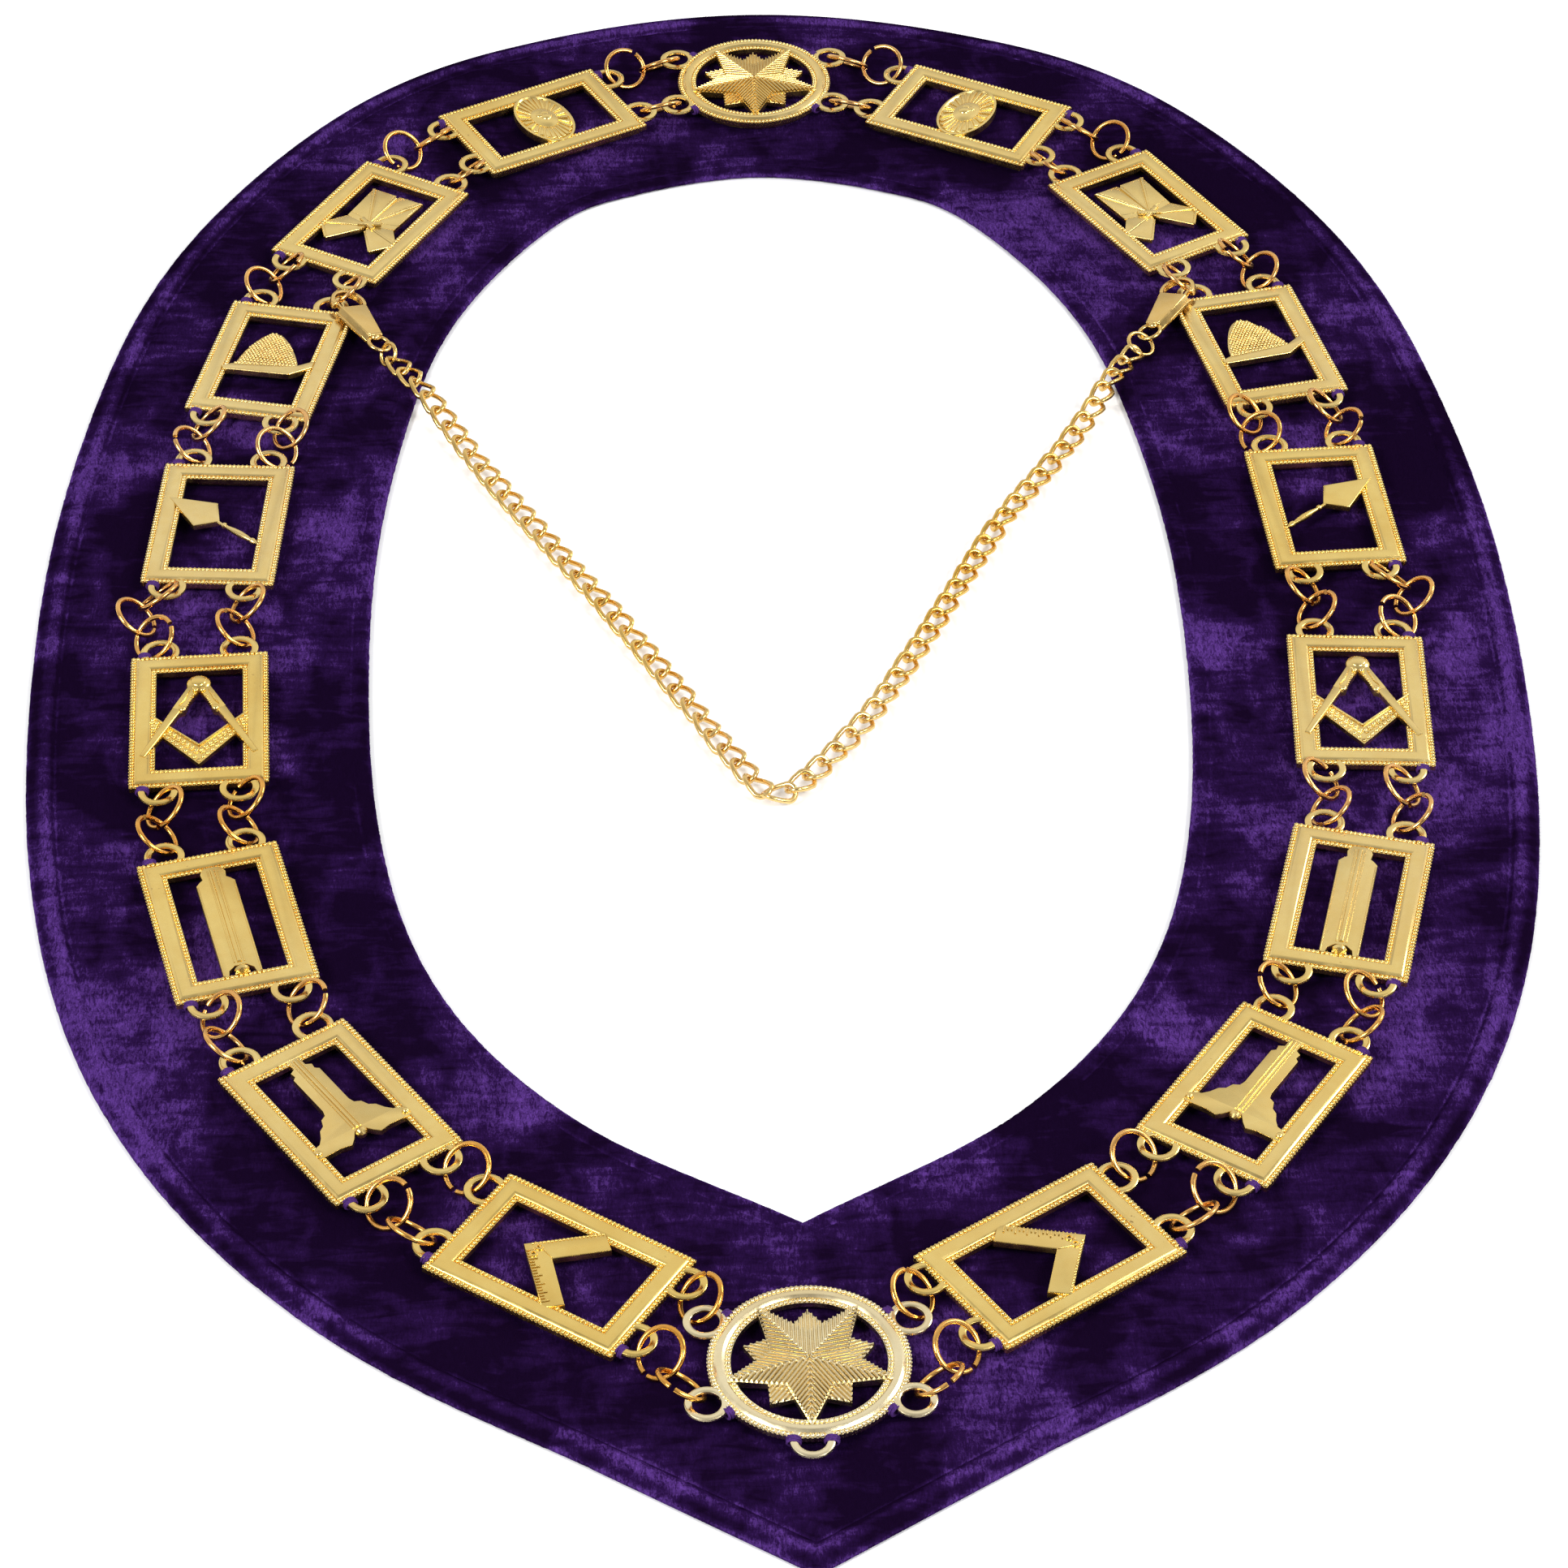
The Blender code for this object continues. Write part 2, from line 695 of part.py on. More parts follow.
def junction_ends(number, side):
    """The two lug holes that a right strand joins, from the back of the neck forward."""
    if number == 1:
        start = medallion_lug_centre("medallion_back", MEDALLION_LUG_ANGLE * side)
    else:
        start = plate_lug_centre(PLATES[number - 2], -1, side)
    if number == len(PLATES) + 1:
        end = medallion_lug_centre("medallion_front", -MEDALLION_LUG_ANGLE * side)
    else:
        end = plate_lug_centre(PLATES[number - 1], 1, side)
    return start, end


def ring_mesh(middle, along, lean):
    """A ring whose chord at lug level runs along the strand; it rises towards the lean."""
    angle = math.radians(RING_TILT)
    across = Vector((lean.x * math.cos(angle), lean.y * math.cos(angle), math.sin(angle)))
    forward = Vector((along.x, along.y, 0.0))
    normal = forward.cross(across)
    centre = Vector((middle.x, middle.y, LUG_LEVEL)) + across * RING_LIFT
    bpy.ops.mesh.primitive_torus_add(
        major_radius=RING_RADIUS, minor_radius=RING_WIRE / 2,
        major_segments=RING_SIDES, minor_segments=WIRE_SIDES)
    torus = bpy.context.object
    mesh = torus.data.copy()
    bpy.data.objects.remove(torus, do_unlink=True)
    frame = Matrix((forward, across, normal)).transposed().to_4x4()
    mesh.transform(Matrix.Translation(centre) @ frame)
    return mesh


def strand_rings(number, side):
    """Middles and directions of a strand's rings, laid from lug to lug.

    A short span takes one ring. A longer one takes two or three, hooked in each other,
    and where they have room to spare they bow out to one side.
    """
    start, end = junction_ends(number, side)
    chord = math.sqrt(RING_RADIUS ** 2 - RING_LIFT ** 2)
    hook = chord - RING_WIRE / 2
    far = hook + LUG_RADIUS - LUG_WIRE / 2 - RING_PLAY
    near = hook + RING_WIRE - PLATE_LUG_OFFSET + 2 * REST_GAP
    link = chord - RING_WIRE / 2 + RING_MERGE / 2
    span = (end - start).length
    along = (end - start).normalized()
    across = Vector((-along.y, along.x)) * side
    if span <= 2 * far:
        return [((start + end) / 2, along)]
    bridge = 0.0 if span <= 2 * (far + link) else 2 * link
    reach = min(max((span - bridge) / 2, near + link), far + link)
    share = min(1.0, (span - bridge) / 2 / reach)
    rise = math.sqrt(1.0 - share ** 2)
    first = along * share + across * rise
    last = along * share - across * rise
    rings = [(start + first * (reach - link), first)]
    if bridge > 0.0:
        rings.append((start + first * reach + along * link, along))
    rings.append((end - last * (reach - link), last))
    return rings


def strand_mesh(number, side):
    meshes = []
    for index, (middle, direction) in enumerate(strand_rings(number, side)):
        lean = Vector((direction.y, -direction.x))
        if index % 2 == 1:
            lean = -lean
        meshes.append(ring_mesh(middle, direction, lean))
    if len(meshes) == 1:
        return meshes[0]
    return fuse(meshes)


def build_rings(collection):
    for number in range(1, len(PLATES) + 2):
        for side, side_name in ((-1, "inner"), (1, "outer")):
            mesh = strand_mesh(number, side)
            shade_round(mesh, 180.0)
            name = "%d_%s" % (number, side_name)
            place_part("rings_left_" + name, mirror_mesh(mesh), "ring", collection)
            place_part("rings_right_" + name, mesh, "ring", collection)


# Snap hooks. In a hook's own frame the middle of its bow is the origin, +X runs to the
# eye, the lever closes the +Y side, and Z is across the folded sheet.

BODY_END = BODY_SETBACK + BODY_LENGTH
EYE_CENTRE = BODY_END + EYE_SETBACK
PIN_INSET = SHEET_THICKNESS + PIN_DIAMETER / 2 + PIN_PLAY
PIN_PLACE = Vector((BODY_SETBACK + PIN_SETBACK, BODY_WIDE_END / 2 - PIN_INSET))


def clasp_body_mesh():
    half_height = BODY_HEIGHT / 2
    wide = BODY_WIDE_END / 2
    narrow = BODY_NARROW_END / 2
    sheet_low = half_height - SHEET_THICKNESS
    taper = [(BODY_SETBACK, -wide), (BODY_END, -narrow), (BODY_END, narrow), (BODY_SETBACK, wide)]
    sheet = slab([taper], sheet_low, half_height)
    wall = SHEET_THICKNESS
    walls = []
    for side in (1, -1):
        outline = [(BODY_SETBACK, side * wide), (BODY_END, side * narrow),
                   (BODY_END, side * (narrow - wall)), (BODY_SETBACK, side * (wide - wall))]
        walls.append(slab([outline], -half_height, half_height - SHEET_THICKNESS / 2))
    outer = HOOK_DIAMETER / 2
    inner = outer - HOOK_STRIP
    bow = flat_arc((0.0, 0.0), outer, HOOK_TIP_ANGLE, HOOK_HEEL_ANGLE, HOOK_STEPS)
    bow += flat_arc((0.0, 0.0), inner, HOOK_HEEL_ANGLE, HOOK_TIP_ANGLE, HOOK_STEPS)
    hook = slab([bow], -HOOK_HEIGHT / 2, HOOK_HEIGHT / 2)
    eye_outer = EYE_DIAMETER / 2
    eye_inner = eye_outer - HOOK_STRIP
    reach = EYE_REACH_ANGLE
    loop = flat_arc((EYE_CENTRE, 0.0), eye_outer, -reach, reach, EYE_STEPS)
    loop += flat_arc((EYE_CENTRE, 0.0), eye_inner, reach, -reach, EYE_STEPS)
    eye = slab([loop], -HOOK_HEIGHT / 2, HOOK_HEIGHT / 2)
    return fuse([sheet] + walls + [hook, eye])


def clasp_lever_mesh():
    """A flat lever on its pin, from under the sheet to just inside the bow's tip."""
    high = BODY_HEIGHT / 2 - SHEET_THICKNESS - LEVER_GAP
    low = high - LEVER_HEIGHT
    tip_angle = math.radians(LEVER_TIP_ANGLE)
    tip_radius = HOOK_DIAMETER / 2 - HOOK_STRIP - LEVER_GAP
    tip = Vector((math.cos(tip_angle), math.sin(tip_angle))) * tip_radius
    along = (tip - PIN_PLACE).normalized()
    across = Vector((-along.y, along.x)) * LEVER_THICKNESS
    strip = [tip, PIN_PLACE, PIN_PLACE + across, tip + across]
    pin = flat_circle(PIN_PLACE, PIN_DIAMETER / 2, PIN_STEPS)
    return fuse([slab([strip], low, high),
                 slab([pin], low - LEVER_GAP / 2, high - LEVER_GAP / 2)])


def clasp_matrix():
    """Hangs the right hook's bow on the first inner ring of its junction."""
    ring_middle, along = strand_rings(CLASP_JUNCTION, -1)[0]
    neckward = Vector((along.y, -along.x))
    tilt = math.radians(RING_TILT)
    rise = HOOK_LEVEL / math.sin(tilt) - RING_LIFT
    half_chord = math.sqrt(RING_RADIUS ** 2 - rise ** 2)
    crossing = ring_middle + along * half_chord + neckward * HOOK_LEVEL / math.tan(tilt)
    turn = math.radians(CLASP_TURN)
    run = along * math.cos(turn) + neckward * math.sin(turn)
    middle = crossing + run * HOOK_SLACK + Vector((-run.y, run.x)) * HOOK_SHIFT
    forward = Vector((run.x, run.y, 0.0))
    side = Vector((-run.y, run.x, 0.0))
    frame = Matrix((forward, side, forward.cross(side))).transposed().to_4x4()
    return (Matrix.Translation((middle.x, middle.y, LUG_LEVEL + HOOK_LEVEL)) @ frame
            @ Matrix.Rotation(math.radians(CLASP_PITCH), 4, "Y")
            @ Matrix.Rotation(math.radians(CLASP_ROLL), 4, "X"))


def build_clasps(collection):
    """Each lever has its origin on its pin, which it turns on."""
    matrix = clasp_matrix()
    pin = matrix @ PIN_PLACE.to_3d()
    for name, mesh, origin in (("clasp", clasp_body_mesh(), Vector()),
                               ("clasp_lever", clasp_lever_mesh(), pin)):
        mesh.transform(Matrix.Translation(-origin) @ matrix)
        left = place_part(name + "_left", mirror_mesh(mesh), "ring", collection)
        left.location = (-origin.x, origin.y, origin.z)
        right = place_part(name + "_right", mesh, "ring", collection)
        right.location = origin


def build_chain(collection):
    reach = EYE_CENTRE + EYE_DIAMETER / 2 + CHAIN_END_GAP
    right_end = clasp_matrix() @ Vector((reach, 0.0, 0.0))
    right_end.z = max(right_end.z, VELVET_TOP + CHAIN_DIAMETER / 2 + REST_GAP)
    left_end = Vector((-right_end.x, right_end.y, right_end.z))
    route = [left_end] + list(CHAIN_ROUTE) + [right_end]
    path = spread_evenly(smooth_through(route, CURVE_STEPS), CHAIN_POINTS)
    curve = bpy.data.curves.new("chain_path", "CURVE")
    curve.dimensions = "3D"
    curve.bevel_depth = CHAIN_DIAMETER / 2
    curve.bevel_resolution = 2
    curve.use_fill_caps = True
    spline = curve.splines.new("POLY")
    spline.points.add(len(path) - 1)
    for point, place in zip(spline.points, path):
        point.co = (*place, 1.0)
    mesh = mesh_from_curve(curve)
    shade_round(mesh, 60.0)
    place_part("safety_chain", mesh, "chain", collection)


def main():
    clear_scene()
    collection = make_collection("chain_collar")
    build_velvet(collection)
    build_plates(collection)
    build_medallions(collection)
    build_rings(collection)
    build_clasps(collection)
    build_chain(collection)
    bpy.context.view_layer.update()


main()
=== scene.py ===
import math

import bpy
from mathutils import Matrix, Vector, noise


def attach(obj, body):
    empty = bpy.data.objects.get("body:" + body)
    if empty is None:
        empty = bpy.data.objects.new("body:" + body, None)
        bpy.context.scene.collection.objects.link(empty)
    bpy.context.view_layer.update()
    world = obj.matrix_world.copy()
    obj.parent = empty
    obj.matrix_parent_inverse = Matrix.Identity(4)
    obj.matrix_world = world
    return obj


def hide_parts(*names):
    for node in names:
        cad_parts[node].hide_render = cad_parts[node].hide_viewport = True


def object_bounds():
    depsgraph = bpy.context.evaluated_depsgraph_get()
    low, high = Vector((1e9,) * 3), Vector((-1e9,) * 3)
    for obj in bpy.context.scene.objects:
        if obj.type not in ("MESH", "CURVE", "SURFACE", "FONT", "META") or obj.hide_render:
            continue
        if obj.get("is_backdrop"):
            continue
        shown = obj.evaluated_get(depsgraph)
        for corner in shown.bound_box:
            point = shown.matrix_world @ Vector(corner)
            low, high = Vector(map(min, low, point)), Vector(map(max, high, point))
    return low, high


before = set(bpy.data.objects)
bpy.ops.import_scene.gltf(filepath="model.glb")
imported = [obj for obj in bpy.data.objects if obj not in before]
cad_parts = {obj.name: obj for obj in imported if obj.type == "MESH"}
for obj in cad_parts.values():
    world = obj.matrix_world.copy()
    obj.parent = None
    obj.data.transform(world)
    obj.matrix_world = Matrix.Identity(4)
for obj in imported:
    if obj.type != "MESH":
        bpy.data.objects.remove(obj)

# Looks of the chain collar, built around the CAD frame.
# Tables and function arguments are in millimetres and degrees, the velvet's and points in metres.

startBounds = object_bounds()
scene = bpy.context.scene
upright = Vector((0, 0, 1))


def mm(value):
    return value / 1000


def shift(x, y, z=0):
    return Matrix.Translation((mm(x), mm(y), mm(z)))


def turned(angle, axis="Z"):
    return Matrix.Rotation(math.radians(angle), 4, axis)


def scaled(x, y, z):
    return Matrix.Diagonal((x, y, z, 1))


# Axes along two directions at right angles and across both
def axesAlong(first, second):
    return Matrix((first, second, first.cross(second))).transposed().to_4x4()


def onCircle(radius, angle, x=0, y=0):
    turn = math.radians(angle)
    return x + radius * math.cos(turn), y + radius * math.sin(turn)


def deselectAll():
    if bpy.context.mode != "OBJECT":
        bpy.ops.object.mode_set(mode="OBJECT")
    bpy.ops.object.select_all(action="DESELECT")


def activate(piece):
    deselectAll()
    piece.select_set(True)
    bpy.context.view_layer.objects.active = piece


def editPiece(piece, kind="VERT", action="DESELECT"):
    activate(piece)
    bpy.ops.object.mode_set(mode="EDIT")
    bpy.ops.mesh.select_mode(type=kind)
    bpy.ops.mesh.select_all(action=action)


def leaveEdit():
    bpy.ops.object.mode_set(mode="OBJECT")


# Works in edit mode on the whole piece
def onAll(piece, action, **settings):
    editPiece(piece, "VERT", "SELECT")
    action(**settings)
    leaveEdit()


# Works in edit mode on the points, edges or faces that are wanted
def onChosen(piece, kind, wanted, action, **settings):
    editPiece(piece, kind)
    leaveEdit()
    points = piece.data.vertices
    if kind == "VERT":
        for point in points:
            point.select = wanted(point.co)
    elif kind == "EDGE":
        for edge in piece.data.edges:
            edge.select = wanted(*(points[index].co for index in edge.vertices))
    else:
        for face in piece.data.polygons:
            face.select = wanted(face)
    bpy.ops.object.mode_set(mode="EDIT")
    action(**settings)
    leaveEdit()


def cutAway(piece, wanted):
    onChosen(piece, "FACE", wanted, bpy.ops.mesh.delete, type="FACE")


# Lengthens a piece along an axis by moving its two halves apart
def pullApart(piece, axis, distance):
    for side in (1, -1):
        away = [0, 0, 0]
        away[axis] = side * mm(distance)
        onChosen(piece, "VERT", lambda place: place[axis] * side > mm(0.05),
                 bpy.ops.transform.translate, value=away)


def outwardNormals(piece):
    onAll(piece, bpy.ops.mesh.normals_make_consistent, inside=False)


def applyModifiers(piece):
    activate(piece)
    for modifier in list(piece.modifiers):
        bpy.ops.object.modifier_apply(modifier=modifier.name)


def copyPiece(piece, matrix=None):
    twin = piece.copy()
    twin.data = piece.data.copy()
    scene.collection.objects.link(twin)
    if matrix is not None:
        twin.data.transform(matrix)
    return twin


def joinPieces(pieces):
    activate(pieces[0])
    for piece in pieces[1:]:
        piece.select_set(True)
    if len(pieces) > 1:
        bpy.ops.object.join()
    return bpy.context.view_layer.objects.active


def drop(piece):
    bpy.data.objects.remove(piece, do_unlink=True)


def layCopies(piece, places):
    joined = joinPieces([copyPiece(piece, place) for place in places])
    drop(piece)
    return joined


def mirrorCopy(piece):
    twin = copyPiece(piece, scaled(-1, 1, 1))
    outwardNormals(twin)
    return twin


def meshPiece(name, points, faces):
    mesh = bpy.data.meshes.new(name)
    mesh.from_pydata(points, [], faces)
    piece = bpy.data.objects.new(name, mesh)
    scene.collection.objects.link(piece)
    return piece


def finishPiece(piece, name, body, node, material, angle=35):
    piece.name = name
    piece.data.name = name
    activate(piece)
    bpy.ops.object.shade_smooth_by_angle(angle=math.radians(angle))
    piece.data.materials.clear()
    piece.data.materials.append(material)
    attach(piece, body)
    if node:
        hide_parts(node)


def extrudeUp(rise):
    bpy.ops.mesh.extrude_region_move(TRANSFORM_OT_translate={"value": (0, 0, mm(rise))})


# Steps are (inwards, upwards)
def insetSteps(steps):
    for width, rise in steps:
        bpy.ops.mesh.inset(thickness=mm(width), depth=mm(rise))


def disc(radius, level, sides):
    bpy.ops.mesh.primitive_circle_add(vertices=sides, radius=mm(radius), fill_type="NGON")
    piece = bpy.context.object
    piece.data.transform(shift(0, 0, level))
    return piece


# A closed plate between two levels, its upper edge rounded and its top cut in steps if told
def castShape(outline, low, high, edge=0.12, steps=()):
    piece = disc(1, 0, len(outline))
    for point, place in zip(piece.data.vertices, outline):
        point.co = (mm(place[0]), mm(place[1]), mm(low))
    onAll(piece, extrudeUp, rise=high - low)
    outwardNormals(piece)
    if edge:
        top = mm(high) - 1e-6
        onChosen(piece, "EDGE", lambda a, b: a.z > top and b.z > top, bpy.ops.mesh.bevel,
                 offset=mm(edge), segments=2, affect="EDGES")
    if steps:
        onTop(piece, insetSteps, steps=steps)
    return piece


# A straight bar between two points, as wide at its end as at its start unless told
def strip(start, end, width, low, high, endWidth=None, edge=0.1):
    start, end = Vector(start), Vector(end)
    across = Vector((start.y - end.y, end.x - start.x)).normalized()
    first = across * width / 2
    last = across * (width if endWidth is None else endWidth) / 2
    return castShape([start - first, end - last, end + last, start + first], low, high, edge)


def ball(radius, x=0, y=0, z=0, flat=1.0, segments=12, rings=8):
    bpy.ops.mesh.primitive_uv_sphere_add(segments=segments, ring_count=rings, radius=mm(radius))
    piece = bpy.context.object
    piece.data.transform(shift(x, y, z) @ scaled(1, 1, flat))
    return piece


def halfBall(radius, flat, segments, rings):
    piece = ball(radius, 0, 0, 0, flat, segments, rings)
    cutAway(piece, lambda face: face.center.z < 0)
    return piece


def wireRing(radius, wire, around, sides=12):
    bpy.ops.mesh.primitive_torus_add(major_radius=mm(radius), minor_radius=mm(wire / 2),
                                     major_segments=around, minor_segments=sides)
    return bpy.context.object


# A turned form; stations are (distance from the start, radius)
def lathed(stations, sides=14):
    piece = disc(stations[0][1], stations[0][0], sides)
    editPiece(piece, "FACE", "SELECT")
    for before, after in zip(stations, stations[1:]):
        extrudeUp(after[0] - before[0])
        grow = after[1] / before[1]
        bpy.ops.transform.resize(value=(grow, grow, 1), center_override=(0, 0, mm(after[0])))
    leaveEdit()
    outwardNormals(piece)
    return piece


# Works on the face that lies highest
def onTop(piece, action, **settings):
    top = max(point.co.z for point in piece.data.vertices) - 1e-6
    onChosen(piece, "FACE", lambda face: face.normal.z > 0.9 and face.center.z > top,
             action, **settings)


def pokeTop(piece, rise):
    onTop(piece, bpy.ops.mesh.poke)
    piece.data.vertices[-1].co.z += mm(rise)


# Distance from the outline's edge, or nothing for a point outside it
def depthInside(x, y, outline):
    here = Vector((x, y))
    within = False
    nearest = 99.0
    for a, b in zip(outline, outline[1:] + outline[:1]):
        if (a[1] > y) != (b[1] > y) and x < (b[0] - a[0]) * (y - a[1]) / (b[1] - a[1]) + a[0]:
            within = not within
        start = Vector(a)
        along = Vector(b) - start
        share = max(0.0, min(1.0, (here - start).dot(along) / along.length_squared))
        nearest = min(nearest, (here - start - along * share).length)
    return nearest if within else 0


def newMaterial(name):
    material = bpy.data.materials.new(name)
    material.use_nodes = True
    return material, material.node_tree, material.node_tree.nodes["Principled BSDF"]


# Links a socket from another node's output, or sets its number or colour
def feed(tree, socket, value):
    if isinstance(value, bpy.types.NodeSocket):
        tree.links.new(value, socket)
    else:
        socket.default_value = (*value, 1) if isinstance(value, tuple) else value


def feedAll(tree, node, sockets):
    for socket, value in sockets.items():
        feed(tree, node.inputs[socket], value)


def feedNode(tree, kind, sockets, **settings):
    made = tree.nodes.new(kind)
    for name, value in settings.items():
        setattr(made, name, value)
    feedAll(tree, made, sockets)
    return made


def noiseNode(tree, vector, scale, detail, roughness, distortion=0.0):
    sockets = {"Vector": vector, "Scale": scale, "Detail": detail, "Roughness": roughness,
               "Distortion": distortion}
    return feedNode(tree, "ShaderNodeTexNoise", sockets).outputs["Fac"]


def rampNode(tree, factor, stops):
    made = feedNode(tree, "ShaderNodeValToRGB", {"Fac": factor})
    ramp = made.color_ramp
    while len(ramp.elements) < len(stops):
        ramp.elements.new(0.5)
    for element, (position, colour) in zip(ramp.elements, stops):
        element.position = position
        element.color = (*colour, 1)
    return made.outputs["Color"]


def mathNode(tree, operation, a, b):
    return feedNode(tree, "ShaderNodeMath", {0: a, 1: b}, operation=operation).outputs[0]


def mixNode(tree, factor, a, b):
    return feedNode(tree, "ShaderNodeMix", {0: factor, 6: a, 7: b}, data_type="RGBA").outputs[2]


def rangeNode(tree, value, fromMin, fromMax, toMin, toMax):
    sockets = {0: value, 1: fromMin, 2: fromMax, 3: toMin, 4: toMax}
    return feedNode(tree, "ShaderNodeMapRange", sockets).outputs[0]


def bumpNode(tree, height, strength, distance):
    sockets = {"Strength": strength, "Distance": distance, "Height": height}
    return feedNode(tree, "ShaderNodeBump", sockets).outputs["Normal"]


# A sum of (value, weight)
def weighedSum(tree, *parts):
    total = None
    for value, weight in parts:
        share = mathNode(tree, "MULTIPLY", value, weight)
        total = mathNode(tree, "ADD", total, share) if total else share
    return total


# Object coordinates, stretched about a turn
def objectPlace(tree, scale=(1, 1, 1), turn=(0, 0, 0)):
    made = tree.nodes.new("ShaderNodeMapping")
    made.inputs["Scale"].default_value = scale
    made.inputs["Rotation"].default_value = turn
    feed(tree, made.inputs["Vector"], tree.nodes.new("ShaderNodeTexCoord").outputs["Object"])
    return made.outputs["Vector"]


# Gilt with a slow drift of tone, small tarnish spots and fine scratches
def goldMaterial(name, pale, deep, blemish, roughness):
    material, tree, shader = newMaterial(name)
    place = objectPlace(tree)
    tint = rampNode(tree, noiseNode(tree, place, 55, 5, 0.6), ((0.32, deep), (0.62, pale)))
    drift = rangeNode(tree, noiseNode(tree, place, 6, 1, 0.4), 0.4, 0.62, 0, 0.45)
    tint = mixNode(tree, drift, tint, tuple(value * 0.72 + 0.22 for value in pale))
    mottle = rangeNode(tree, noiseNode(tree, place, 420, 3, 0.6), 0.4, 0.7, 0, 0.25)
    tint = mixNode(tree, mottle, tint, deep)
    spots = rangeNode(tree, noiseNode(tree, place, 900, 2, 0.5), 0.70, 0.76, 0, 1)
    patches = rangeNode(tree, noiseNode(tree, place, 25, 2, 0.5), 0.52, 0.66, 0, 1)
    spotted = mathNode(tree, "MULTIPLY", spots, patches)
    smear = noiseNode(tree, place, 260, 4, 0.6)
    rough = rangeNode(tree, smear, 0.3, 0.7, roughness - 0.05, roughness + 0.10)
    brushed = objectPlace(tree, (3200, 500, 2000), (0.1, 0.2, 0.6))
    grain = weighedSum(tree, (noiseNode(tree, brushed, 1, 3, 0.6), 0.35),
                       (noiseNode(tree, place, 700, 3, 0.5), 1))
    feedAll(tree, shader, {"Base Color": mixNode(tree, spotted, tint, blemish), "Metallic": 1.0,
                           "Roughness": weighedSum(tree, (rough, 1), (spotted, 0.3)),
                           "Normal": bumpNode(tree, grain, 0.05, 0.00003)})
    return material


# Crushed pile: broad patches of lie, short strokes in them, and a painted highlight on the rolled
# ridge and on the thin cut edges
def velvetMaterial(name, dark, middle, light):
    material, tree, shader = newMaterial(name)
    place = objectPlace(tree)
    broad = noiseNode(tree, place, 17, 2, 0.45, 0.8)
    middling = noiseNode(tree, objectPlace(tree, (95, 60, 80), (0, 0, 0.5)), 1, 3, 0.5, 0.8)
    ripple = noiseNode(tree, objectPlace(tree, (75, 300, 100), (0, 0, 0.15)), 1, 3, 0.55, 0.8)
    dashes = noiseNode(tree, objectPlace(tree, (1150, 380, 700), (0, 0, 0.9)), 1, 3, 0.6, 1.4)
    pile = noiseNode(tree, place, 2600, 2, 0.6)
    fine = weighedSum(tree, (dashes, 0.7), (pile, 0.3))
    height = feedNode(tree, "ShaderNodeSeparateXYZ", {0: place}).outputs[2]
    # Painted highlight: the raised ridge near the outer edge is made lighter
    rolledEdgeHighlight = rangeNode(tree, height, 0.0021, 0.0025, 0, 0.08)
    # Painted highlight: pile lower than 1.8 mm, at the thin cut edges and on the edge fibres, is
    # made lighter; this also lightens the seam grooves
    lowEdgeHighlight = rangeNode(tree, height, 0.0012, 0.0018, 0.10, 0)
    # The pile's lie, with both painted edge highlights added
    lieAndEdgeHighlight = weighedSum(tree, (broad, 0.52), (middling, 0.26), (ripple, 0.22), (rolledEdgeHighlight, 1),
                     (lowEdgeHighlight, 1))
    level = mathNode(tree, "MULTIPLY", rangeNode(tree, lieAndEdgeHighlight, 0.45, 0.62, 0.06, 1.0),
                     rangeNode(tree, fine, 0.38, 0.68, 0.42, 1.05))
    colour = rampNode(tree, level, ((0.0, dark), (0.38, middle), (1.0, light)))
    feedAll(tree, shader, {"Base Color": colour, "Roughness": 0.92, "Specular IOR Level": 0.0,
                           "Normal": bumpNode(tree, fine, 0.6, 0.0004)})
    return material


def threadMaterial(name, dark, light):
    material, tree, shader = newMaterial(name)
    strands = noiseNode(tree, objectPlace(tree, (2600, 2600, 900)), 1, 3, 0.6)
    feedAll(tree, shader, {"Base Color": rampNode(tree, strands, ((0.3, dark), (0.7, light))),
                           "Roughness": 0.8, "Specular IOR Level": 0.25,
                           "Normal": bumpNode(tree, strands, 0.6, 0.0003)})
    return material


velvetCloth = velvetMaterial("crushed_velvet", (0.0042, 0.0012, 0.0078), (0.0150, 0.0042, 0.037),
                             (0.092, 0.034, 0.215))
plateGold = goldMaterial("plate_gold", (0.83, 0.615, 0.20), (0.75, 0.505, 0.135),
                         (0.34, 0.22, 0.08), 0.23)
medallionGold = goldMaterial("medallion_gold", (0.87, 0.75, 0.47), (0.77, 0.62, 0.34),
                             (0.36, 0.26, 0.13), 0.22)
ringGold = goldMaterial("ring_gold", (0.84, 0.45, 0.105), (0.75, 0.34, 0.055),
                        (0.34, 0.14, 0.05), 0.20)
chainGold = goldMaterial("chain_gold", (0.78, 0.52, 0.14), (0.69, 0.40, 0.07),
                         (0.36, 0.20, 0.06), 0.22)
purpleThread = threadMaterial("purple_thread", (0.028, 0.006, 0.07), (0.080, 0.022, 0.18))
print("materials made")


# Neck opening in metres; its rows are (share of the length, share of the half width)
collar = {"length": 0.426, "width": 0.213, "band": 0.087, "plateLevel": 2.4,
          "rows": ((1, 0), (0.981, 0.333), (0.944, 0.559), (0.843, 0.804), (0.725, 0.930),
                   (0.549, 1), (0.338, 0.962), (0.190, 0.808), (0.082, 0.492), (0, 0))}


def smoothThrough(points, steps):
    ahead = [points[0] * 2 - points[1]] + list(points) + [points[-1] * 2 - points[-2]]
    curve = []
    for a, b, c, d in zip(ahead, ahead[1:], ahead[2:], ahead[3:]):
        for step in range(steps):
            t = step / steps
            curve.append(0.5 * (2 * b + (c - a) * t + (2 * a - 5 * b + 4 * c - d) * t * t
                                + (3 * b - a - 3 * c + d) * t ** 3))
    curve.append(points[-1].copy())
    return curve


